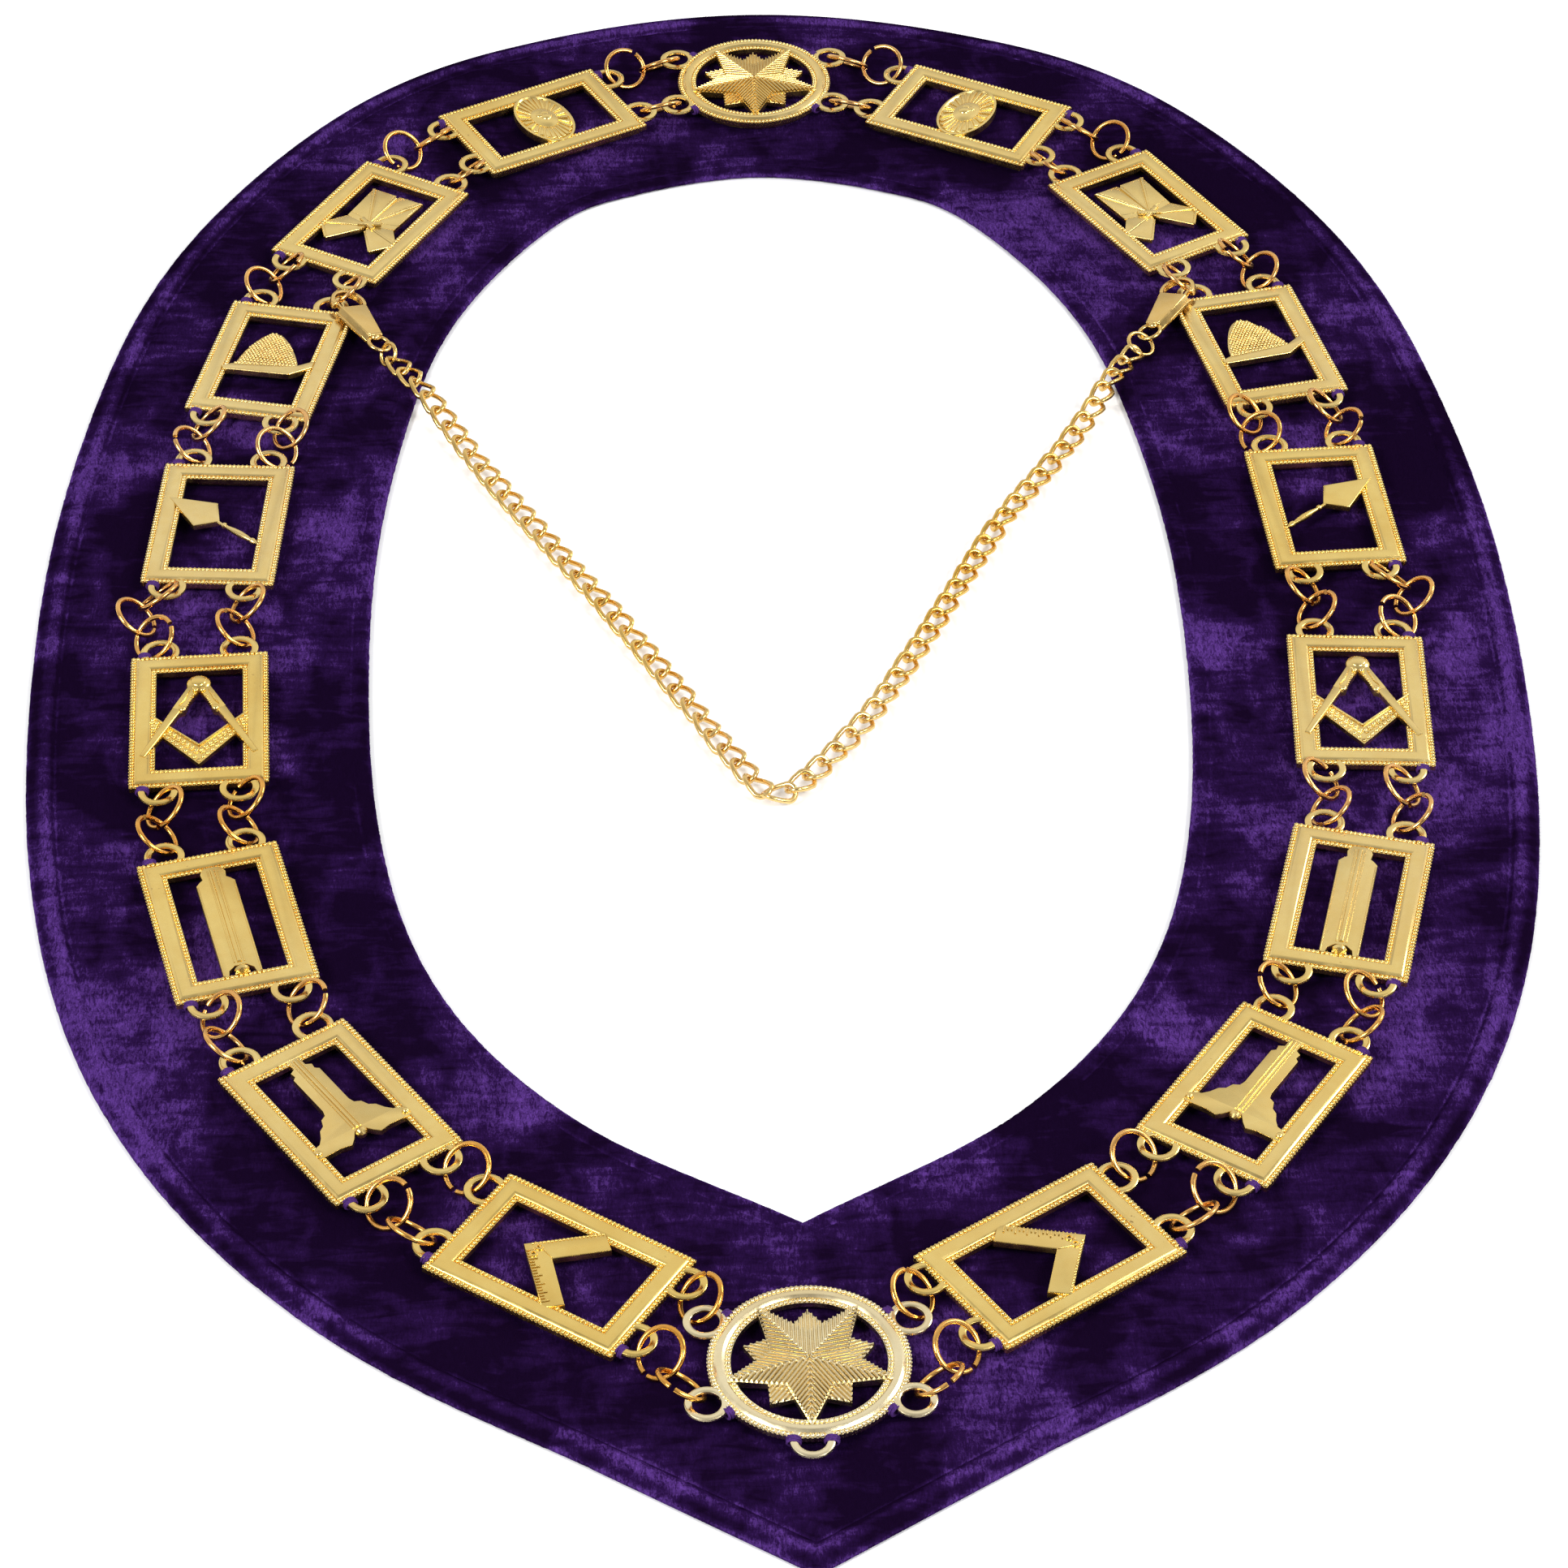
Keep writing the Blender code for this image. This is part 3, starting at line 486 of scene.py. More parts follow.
def spreadEvenly(points, count):
    lengths = [0.0]
    for before, after in zip(points, points[1:]):
        lengths.append(lengths[-1] + (after - before).length)
    even = []
    index = 0
    for step in range(count + 1):
        target = lengths[-1] * step / count
        while index < len(points) - 2 and lengths[index + 1] < target:
            index += 1
        share = (target - lengths[index]) / (lengths[index + 1] - lengths[index])
        even.append(points[index].lerp(points[index + 1], share))
    return even


# Right half of the neck opening and the way out from each of its points
def collarHalf(count):
    rows = [Vector((across * collar["width"] / 2, up * collar["length"]))
            for up, across in collar["rows"]]
    mirrored = [Vector((-rows[1].x, rows[1].y))] + rows
    half = spreadEvenly(smoothThrough(mirrored, 12)[12:], count)
    outs = [Vector((0, 1))]
    for before, after in zip(half, half[2:]):
        along = (after - before).normalized()
        outs.append(Vector((-along.y, along.x)))
    last = (half[-1] - half[-2]).normalized()
    outs.append(Vector((0, -1)) / abs(last.x))
    return half, outs


# Half way between the back edge and the front tip, which lies at y = 0 in the frame
coarse, coarseOuts = collarHalf(28)
frontTip = (coarse[-1] + coarseOuts[-1] * collar["band"]).y
middleY = (frontTip + collar["length"] + collar["band"]) / 2


# The velvet in metres; the ridge and the seams lie at shares of the band's width
velvet = {"across": 46, "along": 520, "thick": 0.0020, "ridge": 0.0026, "ridgeAt": 0.948,
          "ridgeWide": 0.022, "seams": ((0.917, 0.00085), (0.052, 0.00055)), "seamWide": 0.007,
          "ragged": 0.00018, "foot": 0.0003,
          "inner": (0.0, 0.004, 0.012, 0.024, 0.038, 0.045, 0.052, 0.060, 0.075),
          "outer": (0.885, 0.897, 0.907, 0.917, 0.930, 0.945, 0.960, 0.975, 0.988, 0.996, 1.0)}


# Top of the pile above the ground, over the band's width
def velvetHeight(share, x, y):
    edge = min(share, 1 - share) * collar["band"]
    height = velvet["thick"] * min(1.0, 0.55 + 0.45 * math.sqrt(min(1.0, edge / 0.0022)))
    height += (velvet["ridge"] - velvet["thick"]) * math.exp(
        -((share - velvet["ridgeAt"]) / velvet["ridgeWide"]) ** 2)
    pinch = 0.7 + 0.6 * noise.noise(Vector((x * 260, y * 260, 7.3)))
    for place, depth in velvet["seams"]:
        height -= depth * pinch * math.exp(-((share - place) / velvet["seamWide"]) ** 2)
    wave = noise.noise(Vector((x * 45, y * 45, 0.3))) * 0.00016
    wave += noise.noise(Vector((x * 190, y * 190, 2.1))) * 0.00007
    return height + wave * min(1.0, edge / 0.003)


# All the way round the collar at a share of the band's width, and the ways out
def bandLoop(half, outs, share):
    right = [point + out * share * collar["band"] + Vector((0, -middleY))
             for point, out in zip(half, outs)]
    return ([*right, *(Vector((-point.x, point.y)) for point in reversed(right[1:-1]))],
            [*outs, *(Vector((-out.x, out.y)) for out in reversed(outs[1:-1]))])


def buildVelvet(half, outs):
    start, end = velvet["inner"][-1], velvet["outer"][0]
    between = [start + (end - start) * step / velvet["across"]
               for step in range(1, velvet["across"])]
    loops = []
    for share in (*velvet["inner"], *between, *velvet["outer"]):
        loop = []
        for point in bandLoop(half, outs, share)[0]:
            away = Vector((0, 0))
            if share in (0.0, 1.0):
                bite = noise.noise(Vector((point.x * 700, point.y * 700, share)))
                away = point.normalized() * velvet["ragged"] * bite
            loop.append((point.x + away.x, point.y + away.y,
                         velvetHeight(share, point.x, point.y)))
        loops.append(loop)
    rims = ((loops[-1], 1, velvet["foot"]), (loops[-1], 0.9985, 0), (loops[0], 1.002, 0),
            (loops[0], 1, velvet["foot"]))
    loops += [[(x * grow, y * grow, level) for x, y, z in loop] for loop, grow, level in rims]
    around = len(loops[0])
    faces = []
    for row in range(len(loops)):
        following = (row + 1) % len(loops) * around
        for index in range(around):
            after = (index + 1) % around
            faces.append((row * around + index, row * around + after, following + after,
                          following + index))
    piece = meshPiece("velvet", [point for loop in loops for point in loop], faces)
    outwardNormals(piece)
    return piece


# Short fibres that stand out of the cut edges
def buildPileEdge(half, outs):
    points = []
    faces = []
    for share, direction, perStep in ((0.0, -1, 2), (1.0, 1, 3)):
        places, ways = bandLoop(half, outs, share)
        for index, (point, out) in enumerate(zip(places, ways)):
            following = places[(index + 1) % len(places)]
            for step in range(perStep):
                seed = index * 7.31 + step * 3.17 + share
                root = point.lerp(following, (step + 0.5) / 3)
                away = out.normalized() * direction
                side = Vector((-away.y, away.x))
                reach = 0.00012 + 0.0002 * abs(noise.noise(Vector((seed, 1.7, 0))))
                lean = 0.0009 * noise.noise(Vector((seed * 1.3, 5.2, 0)))
                height = 0.0007 + 0.0006 * abs(noise.noise(Vector((seed, 9.4, 3))))
                base = root - away * 0.0003
                tip = root + away * reach + side * lean
                start = len(points)
                points += [(*(base - side * 0.00016), height), (*(base + side * 0.00016), height),
                           (*base, height + 0.00025), (*tip, height + 0.0001)]
                faces += [(start, start + 1, start + 3), (start + 1, start + 2, start + 3),
                          (start + 2, start, start + 3), (start, start + 2, start + 1)]
    return meshPiece("pile_edge", points, faces)


fineHalf, fineOuts = collarHalf(velvet["along"])
velvetPiece = buildVelvet(fineHalf, fineOuts)
finishPiece(velvetPiece, "velvet", "collar", "velvet_collar", velvetCloth, 60)
pileEdge = buildPileEdge(fineHalf, fineOuts)
finishPiece(pileEdge, "velvet_pile_edge", "collar", None, velvetCloth, 30)


# Where the plates lie: x, y and the turn of the upper end, and if the left one is mirrored
plateRows = (("oval", 63.3, 244.2, 61.6, True), ("fan", 112.4, 193.2, 30.1, True),
             ("beehive", 138.0, 126.2, 12.3, False), ("trowel", 148.2, 52.8, 3.8, True),
             ("compasses", 148.5, -28.0, -3.2, True), ("plumb", 137.1, -104.5, -14.6, True),
             ("level", 107.2, -170.3, -35.0, True), ("square", 55.6, -220.9, -56.1, False))
medallionPlaces = {"medallion_back": (0, 264.2), "medallion_front": (0, -251.8)}
plate = {"halfX": 17.5, "halfY": 25.65, "ledge": 3.15, "windowX": 11.1, "windowY": 19.25,
         "steps": ((1.16, 0), (0.05, 0.25), (0.66, 0.50), (0.12, 0.03), (2.46, -0.02),
                   (0.10, -0.04), (0.54, -0.42), (0.05, -0.30), (1.26, 0)),
         "footLevel": 1.75, "footIn": 1.6}
lug = {"outer": 10.2, "wire": 1.9, "level": 3.0, "spread": 20.4, "offset": 1.8,
       "medallionOffset": 3.4, "jewelOffset": 0.8, "angle": 28, "flat": 0.82, "top": 0.62}
bead = {"radius": 0.47, "stretch": 0.12, "tall": 1.1, "pitch": 1.13, "roundPitch": 1.08,
        "rib": 0.40, "ribOut": 0.42, "ribLong": 1.3, "outerIn": 0.58, "windowOut": 0.62,
        "roundIn": 0.56}


def plateMatrix(x, y, turn):
    return shift(x, y, collar["plateLevel"]) @ turned(turn)


# Half a bead, a little longer across the row, and the rib that runs down the wall from it
def rowBead(withRib):
    half = halfBall(bead["radius"], 1, 10, 8)
    pullApart(half, 1, bead["stretch"])
    half.data.transform(scaled(1, 1, bead["tall"]))
    if not withRib:
        return half
    bpy.ops.mesh.primitive_cylinder_add(vertices=8, radius=mm(bead["rib"]),
                                        depth=mm(bead["ribLong"]))
    rib = bpy.context.object
    rib.data.transform(shift(0, -bead["ribOut"], -bead["ribLong"] / 2))
    return joinPieces([half, rib])


# A row of beads from start to end by an array; facing turns the ribs outwards
def beadLine(one, start, end, facing, skipEnds=False):
    begin = Vector(start)
    finish = Vector(end)
    count = max(2, round((finish - begin).length / bead["pitch"])) + 1
    step = (finish - begin) / (count - 1)
    if skipEnds:
        begin = begin + step
        count -= 2
    row = copyPiece(one, turned(facing))
    array = row.modifiers.new("row", "ARRAY")
    array.use_relative_offset = False
    array.use_constant_offset = True
    array.constant_offset_displace = (mm(step.x), mm(step.y), 0)
    array.count = count
    applyModifiers(row)
    row.data.transform(shift(begin.x, begin.y, plate["ledge"]))
    return row


# An open flat ring with rounded sides; its root is at the origin and it faces +Y
def lugPiece(offset, sink=0.5):
    piece = wireRing((lug["outer"] - lug["wire"]) / 2, lug["wire"], 36)
    piece.data.transform(scaled(1, 1, lug["flat"]))
    onChosen(piece, "VERT", lambda place: place.z > mm(0.5), bpy.ops.transform.resize,
             value=(1, 1, 0), center_override=(0, 0, mm(lug["top"])))
    piece.data.transform(shift(0, offset, 0))
    onAll(piece, bpy.ops.mesh.bisect, plane_co=(0, mm(-sink), 0), plane_no=(0, 1, 0),
          use_fill=True, clear_inner=True)
    return piece


# Cuts the frame's steps into a flat face, opens its middle and sets it on a narrow foot
def ringProfile(piece, steps, isRound=False):
    editPiece(piece, "FACE", "SELECT")
    insetSteps(steps)
    bpy.ops.mesh.delete(type="FACE")
    editPiece(piece, "EDGE")
    bpy.ops.mesh.select_non_manifold(extend=False)
    extrudeUp(plate["footLevel"] - plate["ledge"])
    extrudeUp(-0.10)
    leaveEdit()
    low = mm(plate["footLevel"] - 0.05)
    sizes = [max(abs(point.co[axis]) for point in piece.data.vertices) - mm(1)
             for axis in (0, 1)]

    def isOuter(place):
        if isRound:
            return place.xy.length > sizes[0]
        return abs(place.x) > sizes[0] or abs(place.y) > sizes[1]

    def isInner(place):
        return not isOuter(place)

    for belongs, direction in ((isInner, 1), (isOuter, -1)):
        chosen = [point.co for point in piece.data.vertices
                  if point.co.z < low and belongs(point.co)]
        grow = [1 + direction * mm(plate["footIn"]) / max(place[axis] for place in chosen)
                for axis in (0, 1)]
        onChosen(piece, "VERT", lambda place: place.z < low and belongs(place),
                 bpy.ops.transform.resize, value=(*grow, 1), center_override=(0, 0, 0))

    def closeFoot():
        extrudeUp(-1.63)
        bpy.ops.mesh.bridge_edge_loops()

    onChosen(piece, "EDGE", lambda a, b: a.z < low and b.z < low, closeFoot)
    outwardNormals(piece)


def buildPlateFrame():
    halfX, halfY = plate["halfX"], plate["halfY"]
    bpy.ops.mesh.primitive_plane_add(size=2)
    base = bpy.context.object
    base.data.transform(shift(0, 0, plate["ledge"]) @ scaled(mm(halfX), mm(halfY), 1))
    ringProfile(base, plate["steps"])
    pieces = [base]
    inset, out = bead["outerIn"], bead["windowOut"]
    for one, x, y, facings in (
            (rowBead(True), halfX - inset, halfY - inset, (0, 180, 90, -90)),
            (rowBead(False), plate["windowX"] + out, plate["windowY"] + out, (0, 0, 90, 90))):
        for start, end, facing, skipEnds in zip(((-x, -y), (-x, y), (x, -y), (-x, -y)),
                                                ((x, -y), (x, y), (x, y), (-x, y)), facings,
                                                (False, False, True, True)):
            pieces.append(beadLine(one, start, end, facing, skipEnds))
        drop(one)
    places = [shift(side * lug["spread"] / 2, end * halfY, lug["level"]) @ turned(turn)
              for end, turn in ((1, 0), (-1, 180)) for side in (1, -1)]
    return joinPieces(pieces + [layCopies(lugPiece(lug["offset"]), places)])


plateFrame = buildPlateFrame()
print("plate frame made", len(plateFrame.data.polygons))


# The emblems' outlines are in shares of the window's half width and half length
def inWindow(shares):
    return [(across * plate["windowX"], along * plate["windowY"]) for across, along in shares]


def bothSides(shares):
    return list(shares) + [(-across, along) for across, along in reversed(shares) if across]


def ellipse(halfX, halfY, centreY, count):
    places = [onCircle(1, 360 * step / count) for step in range(count)]
    return [(halfX * x, centreY + halfY * y) for x, y in places]


# Small half beads at (x, y) on one level, or at (x, y, level)
def studs(places, radius, low, flat=0.8):
    return layCopies(halfBall(radius, flat, 8, 6),
                     [shift(x, y, rest[0] if rest else low) for x, y, *rest in places])


def studLine(start, end, pitch, radius, low):
    start, end = Vector(start), Vector(end)
    count = max(1, round((end - start).length / pitch))
    return studs([start.lerp(end, (step + 0.5) / count) for step in range(count)], radius, low)


# A plumb weight that hangs towards -Y
def plumbWeight(y, stations):
    weight = lathed(stations, 16)
    weight.data.transform(shift(0, y, 3.5) @ turned(90, "X"))
    return weight


def ovalEmblem():
    centreY = 0.7
    pieces = [castShape(ellipse(13.0, 7.8, centreY, 48), 1.9, 4.1, 0.25,
                        ((0.45, 0), (0.45, -0.45), (2.2, 0.1), (1.2, 0.12))),
              castShape(ellipse(5.4, 3.7, centreY, 32), 3.2, 4.15, 0.2,
                        ((0.5, 0.25), (0.6, 0.3), (0.8, 0.2)))]
    for x, y in ellipse(1, 1, 0, 52)[1::2]:
        pieces.append(strip((5.0 * x, centreY + 3.3 * y), (11.6 * x, centreY + 6.5 * y), 0.5,
                            3.2, 4.15, 1.25, 0.2))
    return pieces + [ball(radius, x, y, 4.7, 0.5)
                     for radius, x, y in ((1.7, -0.9, 1.0), (1.2, 1.2, 1.4), (1.2, 0.9, -0.4))]


def fanEmblem():
    panels = [castShape(inWindow([(-0.76, 0.78), (-0.06, 0.78), (0, 0.72), (0.06, 0.78),
                                  (0.76, 0.78), (0.72, 0.0), (0, -0.10), (-0.72, 0.0)]),
                        1.7, 2.9, 0.2)]
    for corner in ((-8.0, 14.6), (0, 13.6), (8.0, 14.6)):
        panels.append(strip((0, -1.2), corner, 0.5, 2.7, 3.35, 1.0, 0.22))
    for wedge in (((-7.9, 2.0), (-7.9, 13.2)), ((-6.8, 14.5), (-0.9, 14.2)),
                  ((0.9, 14.2), (6.8, 14.5)), ((7.9, 13.2), (7.9, 2.0))):
        facet = castShape([(0, 0), *wedge], 2.6, 3.0, 0.12)
        pokeTop(facet, 0.28)
        panels.append(facet)
    wing = inWindow([(0.00, -0.08), (0.70, -0.01), (1.14, -0.34), (0.66, -0.67), (0.08, -0.25)])
    for side, rise in ((1, 0), (-1, -0.15)):
        outline = [(side * x, y) for x, y in wing]
        panels += [castShape(outline, 1.7, 3.1 + rise, 0.3),
                   strip(outline[2], outline[3], 0.9, 3.0, 3.5 + rise, 0.9, 0.25),
                   strip(outline[3], outline[4], 0.8, 3.0, 3.4 + rise, 0.6, 0.25),
                   strip((0, -2.2), outline[2], 0.5, 3.0, 3.35 + rise, 1.0, 0.2)]
    return panels + [strip((-3.4, 0.2), (2.6, -2.9), 1.7, 3.0, 3.75, 1.3, 0.35),
                     strip((3.2, 0.3), (-2.4, -2.9), 1.5, 3.0, 3.65, 1.2, 0.35)]


# The studs lie in rows that are offset like cells
def beehiveEmblem():
    corners = inWindow([(-0.84, -0.22), (-0.80, 0.02), (-0.66, 0.30), (-0.46, 0.54),
                        (-0.22, 0.655), (0.02, 0.62), (0.26, 0.47), (0.50, 0.25), (0.70, 0.00),
                        (0.76, -0.18)])
    curve = smoothThrough([Vector(place) for place in corners], 4)
    outline = [(place.x, place.y) for place in reversed(curve)]
    dome = castShape(outline, 2.1, 3.1, 0.3, ((0.35, 0.25),))
    pokeTop(dome, 0.75)
    places = []
    for row in range(-6, 22):
        for column in range(-14, 14):
            x, y = column * 1.02 + (row % 2) * 0.51, row * 0.80
            depth = depthInside(x, y, outline)
            if depth > 0.45:
                rise = 0.28 * min(1.0, depth / 0.8) + 0.20 * min(3.4, max(0.0, depth - 0.8))
                places.append((x, y, 3.05 + rise))
    base = inWindow([(-1.14, -0.28), (-0.86, -0.20), (0.70, -0.11), (1.12, 0.06),
                     (1.12, -0.10), (0.62, -0.33), (-1.06, -0.36)])
    return [dome, studs(places, 0.44, 0, 0.9), castShape(base, 2.1, 3.9, 0.3),
            studLine(base[1], base[2], 1.0, 0.45, 3.85),
            strip(base[6], base[5], 0.7, 3.6, 4.15, 0.7, 0.2),
            strip(base[5], base[4], 0.7, 3.6, 4.15, 0.5, 0.2)]


def trowelEmblem():
    blade = castShape([(1.0, 7.7), (14.5, 10.0), (6.4, -2.3), (-0.4, -0.1)], 2.5, 4.15, 0.25,
                      ((0.5, 0.05),))
    handle = lathed(((0, 0.50), (1.8, 0.45), (2.0, 0.85), (2.6, 0.90), (2.9, 0.50), (4.0, 0.62),
                     (6.0, 0.90), (8.5, 1.00), (10.8, 0.75), (12.0, 0.55), (12.3, 0.85),
                     (12.9, 0.90), (13.6, 0.60), (14.5, 0.15)))
    along = Vector((-11.4, -8.6, 0)).normalized()
    handle.data.transform(shift(0.1, -0.1, 3.6) @ axesAlong(upright.cross(along), upright))
    return [blade, handle]


def compassesEmblem():
    pieces = [castShape(inWindow([(1.17, 0.16), (1.17, -0.10), (0, -0.92), (-1.17, -0.10),
                                  (-1.17, 0.16), (0, -0.56)]), 2.0, 3.25, 0.2)]
    for side in (1, -1):
        pieces.append(strip((side * 12.8, 2.6), (0, -10.4), 0.6, 3.0, 3.6, 0.6, 0.2))
        for share, start in ((0.22, 0.5), (0.84, 0)):
            near = Vector((0, -11.6 - 5.6 * share))
            far = Vector((side * 12.4, 1.9 - 4.0 * share))
            pieces.append(studs([near.lerp(far, (step + start) / 11) for step in range(11)],
                                0.66, 3.2, 0.85))
        halfBrick = Vector((side * 0.45, 0.3))
        for step in range(11):
            middle = Vector((0, -14.0)).lerp(Vector((side * 12.4, -0.4)), (step + 0.75) / 11)
            pieces.append(strip(middle + halfBrick, middle - halfBrick, 0.75, 3.1, 3.6, 0.75,
                                0.2))
    for side in (1, -1):
        upper = [(0.1, 10.6), (2.8, 12.6), (7.2, 3.4), (5.4, 1.6), (3.6, 2.4), (2.6, 5.6)]
        leaf = [(2.2, 10.9), (3.9, 8.2), (5.2, 4.6), (3.6, 6.8)]
        pieces += [castShape([(side * x, y) for x, y in upper], 2.4, 3.95, 0.3),
                   castShape([(side * x, y) for x, y in leaf], 3.9, 4.3, 0.15),
                   strip((side * 5.6, 3.4), (side * 14.3, -14.6), 2.7, 2.6, 4.3, 1.7, 0.45),
                   ball(1.05, side * 4.2, 3.2, 4.0, 0.8),
                   studLine((side * 1.5, 9.2), (side * 3.2, 4.4), 0.8, 0.32, 3.95),
                   ball(0.75, side * 0.9, 10.7, 4.0, 0.8)]
    return pieces + [ball(3.25, 0.2, 14.0, 2.9, 0.50, 24, 14),
                     ball(2.1, 0.2, 14.1, 4.0, 0.34, 24, 10)]


def plumbEmblem():
    tablet = inWindow(bothSides([(0.10, 1.04), (0.24, 1.00), (0.29, 0.92), (0.27, 0.82),
                                 (0.34, 0.79), (0.44, 0.72), (0.44, -1.04), (0.30, -1.04),
                                 (0.27, -0.94), (0.12, -0.86)]))
    pieces = [castShape(tablet, 2.2, 3.75, 0.25),
              strip((0, 18.6), (0, -15.6), 1.2, 3.6, 4.2, 1.2, 0.3)]
    for across, top, bottom in ((1.25, 18.6, -15.6), (4.55, 13.2, -19.8)):
        for x in (across, -across):
            pieces.append(strip((x, top), (x, bottom), 0.4, 3.6, 3.95, 0.4, 0.12))
    return pieces + [plumbWeight(-17.0, ((0, 0.3), (0.6, 1.2), (1.4, 1.9), (2.2, 1.7),
                                         (2.8, 0.7))),
                     studLine((-1.9, -19.4), (1.9, -19.4), 0.7, 0.36, 3.75),
                     ball(0.7, 0, 15.6, 3.8, 0.6)]


def levelEmblem():
    stem = inWindow(bothSides([(0.14, 1.06), (0.15, 0.90), (0.27, 0.86), (0.25, 0.78),
                               (0.33, 0.74), (0.33, 0.08), (0.37, 0.00), (0.50, -0.04),
                               (0.57, -0.14), (0.70, -0.19), (0.80, -0.30), (0.92, -0.38),
                               (1.04, -0.40), (1.14, -0.44), (1.14, -0.60), (0.60, -0.59),
                               (0.36, -0.62), (0.24, -0.55), (0.10, -0.44)]))
    pieces = [castShape(stem, 2.2, 3.75, 0.25),
              strip((0, 19.6), (0, -7.6), 0.8, 3.6, 4.1, 0.8, 0.2)]
    for side in (1, -1):
        pieces += [strip((side, 19.6), (side, -7.6), 0.35, 3.6, 3.95, 0.35, 0.1),
                   ball(0.9, side * 12.0, -9.9, 3.9, 0.7)]
    return pieces + [plumbWeight(-7.8, ((0, 0.3), (0.6, 1.0), (1.5, 1.5), (2.4, 1.3),
                                        (3.0, 0.5)))]


# One arm has ruler marks, the other a row of studs
def squareEmblem():
    outline = inWindow([(0.03, 0.52), (-1.24, -0.24), (-0.92, -0.44), (0, 0.10),
                        (0.84, -0.42), (1.18, -0.20)])
    pieces = [castShape(outline, 2.1, 3.9, 0.22)]
    corner, left, inner, right = (Vector(outline[index]) for index in (0, 1, 3, 5))
    edge = (left - corner).normalized()
    inward = Vector((-edge.y, edge.x))
    for step in range(19):
        place = corner.lerp(left, 0.12 + 0.80 * step / 18)
        reach = 1.3 if step % 3 else 2.2
        pieces.append(strip(place + inward * 0.12, place + inward * reach, 0.36, 3.8, 4.2, 0.36,
                            0.08))
    down = (inner - corner).normalized() * 0.6
    pieces += [studLine(corner.lerp(right, 0.06) + down, corner.lerp(right, 0.97) + down, 0.9,
                        0.36, 3.88),
               strip(inner + Vector((0.2, 0.1)), corner.lerp(right, 0.14), 0.35, 3.8, 4.1, 0.35,
                     0.1)]
    for x in (-1.1, 1.3):
        pieces.append(castShape([onCircle(1.0, 22.5 * step, x, 6.3) for step in range(16)],
                                3.8, 4.25, 0.1, ((0.35, 0), (0.1, -0.35))))
    return pieces


emblems = {"oval": ovalEmblem, "fan": fanEmblem, "beehive": beehiveEmblem,
           "trowel": trowelEmblem, "compasses": compassesEmblem, "plumb": plumbEmblem,
           "level": levelEmblem, "square": squareEmblem}

for emblem, x, y, turn, mirrored in plateRows:
    right = joinPieces([copyPiece(plateFrame)] + emblems[emblem]())
    left = mirrorCopy(right) if mirrored else copyPiece(right)
    for piece, side, name in ((right, 1, "plate_right_"), (left, -1, "plate_left_")):
        piece.data.transform(plateMatrix(side * x, y, side * turn))
        finishPiece(piece, "cast_" + name + emblem, "collar", name + emblem, plateGold)
    print("plate made", emblem, len(right.data.polygons))
drop(plateFrame)


# The star has five long points over five short ones, both grooved
medallion = {"radius": 22.6, "inner": 17.5, "groove": 0.95, "long": 19.9, "short": 15.4,
             "notch": 9.0, "notchAcross": 3.5, "shortTop": 2.95, "barWide": 0.66,
             "barHigh": 0.60, "lugAngles": (28, 152, 208, -28),
             "steps": ((1.14, 0), (0.05, 0.20), (0.66, 0.52), (0.10, 0.04), (1.12, 0.0),
                       (0.10, -0.04), (0.62, -0.48), (0.05, -0.24), (1.26, 0))}


# Top of the long points: each is a ridge, and the notches between them lie lower
def starHeight(x, y):
    radius = math.hypot(x, y)
    offRidge = abs((math.degrees(math.atan2(y, x)) + 126) % 72 - 36) / 36
    return 4.45 - (min(1.0, radius / 10) * offRidge + 0.45 * radius / 19)


# A bar with a rounded top, one long, one wide and one high
def roofBar():
    bpy.ops.mesh.primitive_cylinder_add(vertices=10, radius=0.5, depth=1)
    bar = bpy.context.object
    bar.data.transform(Matrix.Translation((0.5, 0, 0)) @ turned(90, "Y"))
    cutAway(bar, lambda face: face.center.z < -0.1)
    bar.data.transform(scaled(1, 1, 2))
    return bar


# Place of a bar at an offset beside the middle line of a fifth of the star
def barPlace(angle, offset, near, far, height):
    forward = Vector(onCircle(1, angle))
    side = Vector((-forward.y, forward.x))
    start, end = (forward * reach + side * offset for reach in (near, far))
    a, b = (Vector((place.x, place.y, height(place.x, place.y) - 0.08)) for place in (start, end))
    wide = side.to_3d() * medallion["groove"] * medallion["barWide"]
    matrix = Matrix((b - a, wide, upright * medallion["barHigh"])).transposed().to_4x4()
    return Matrix.Scale(0.001, 4) @ Matrix.Translation(a) @ matrix


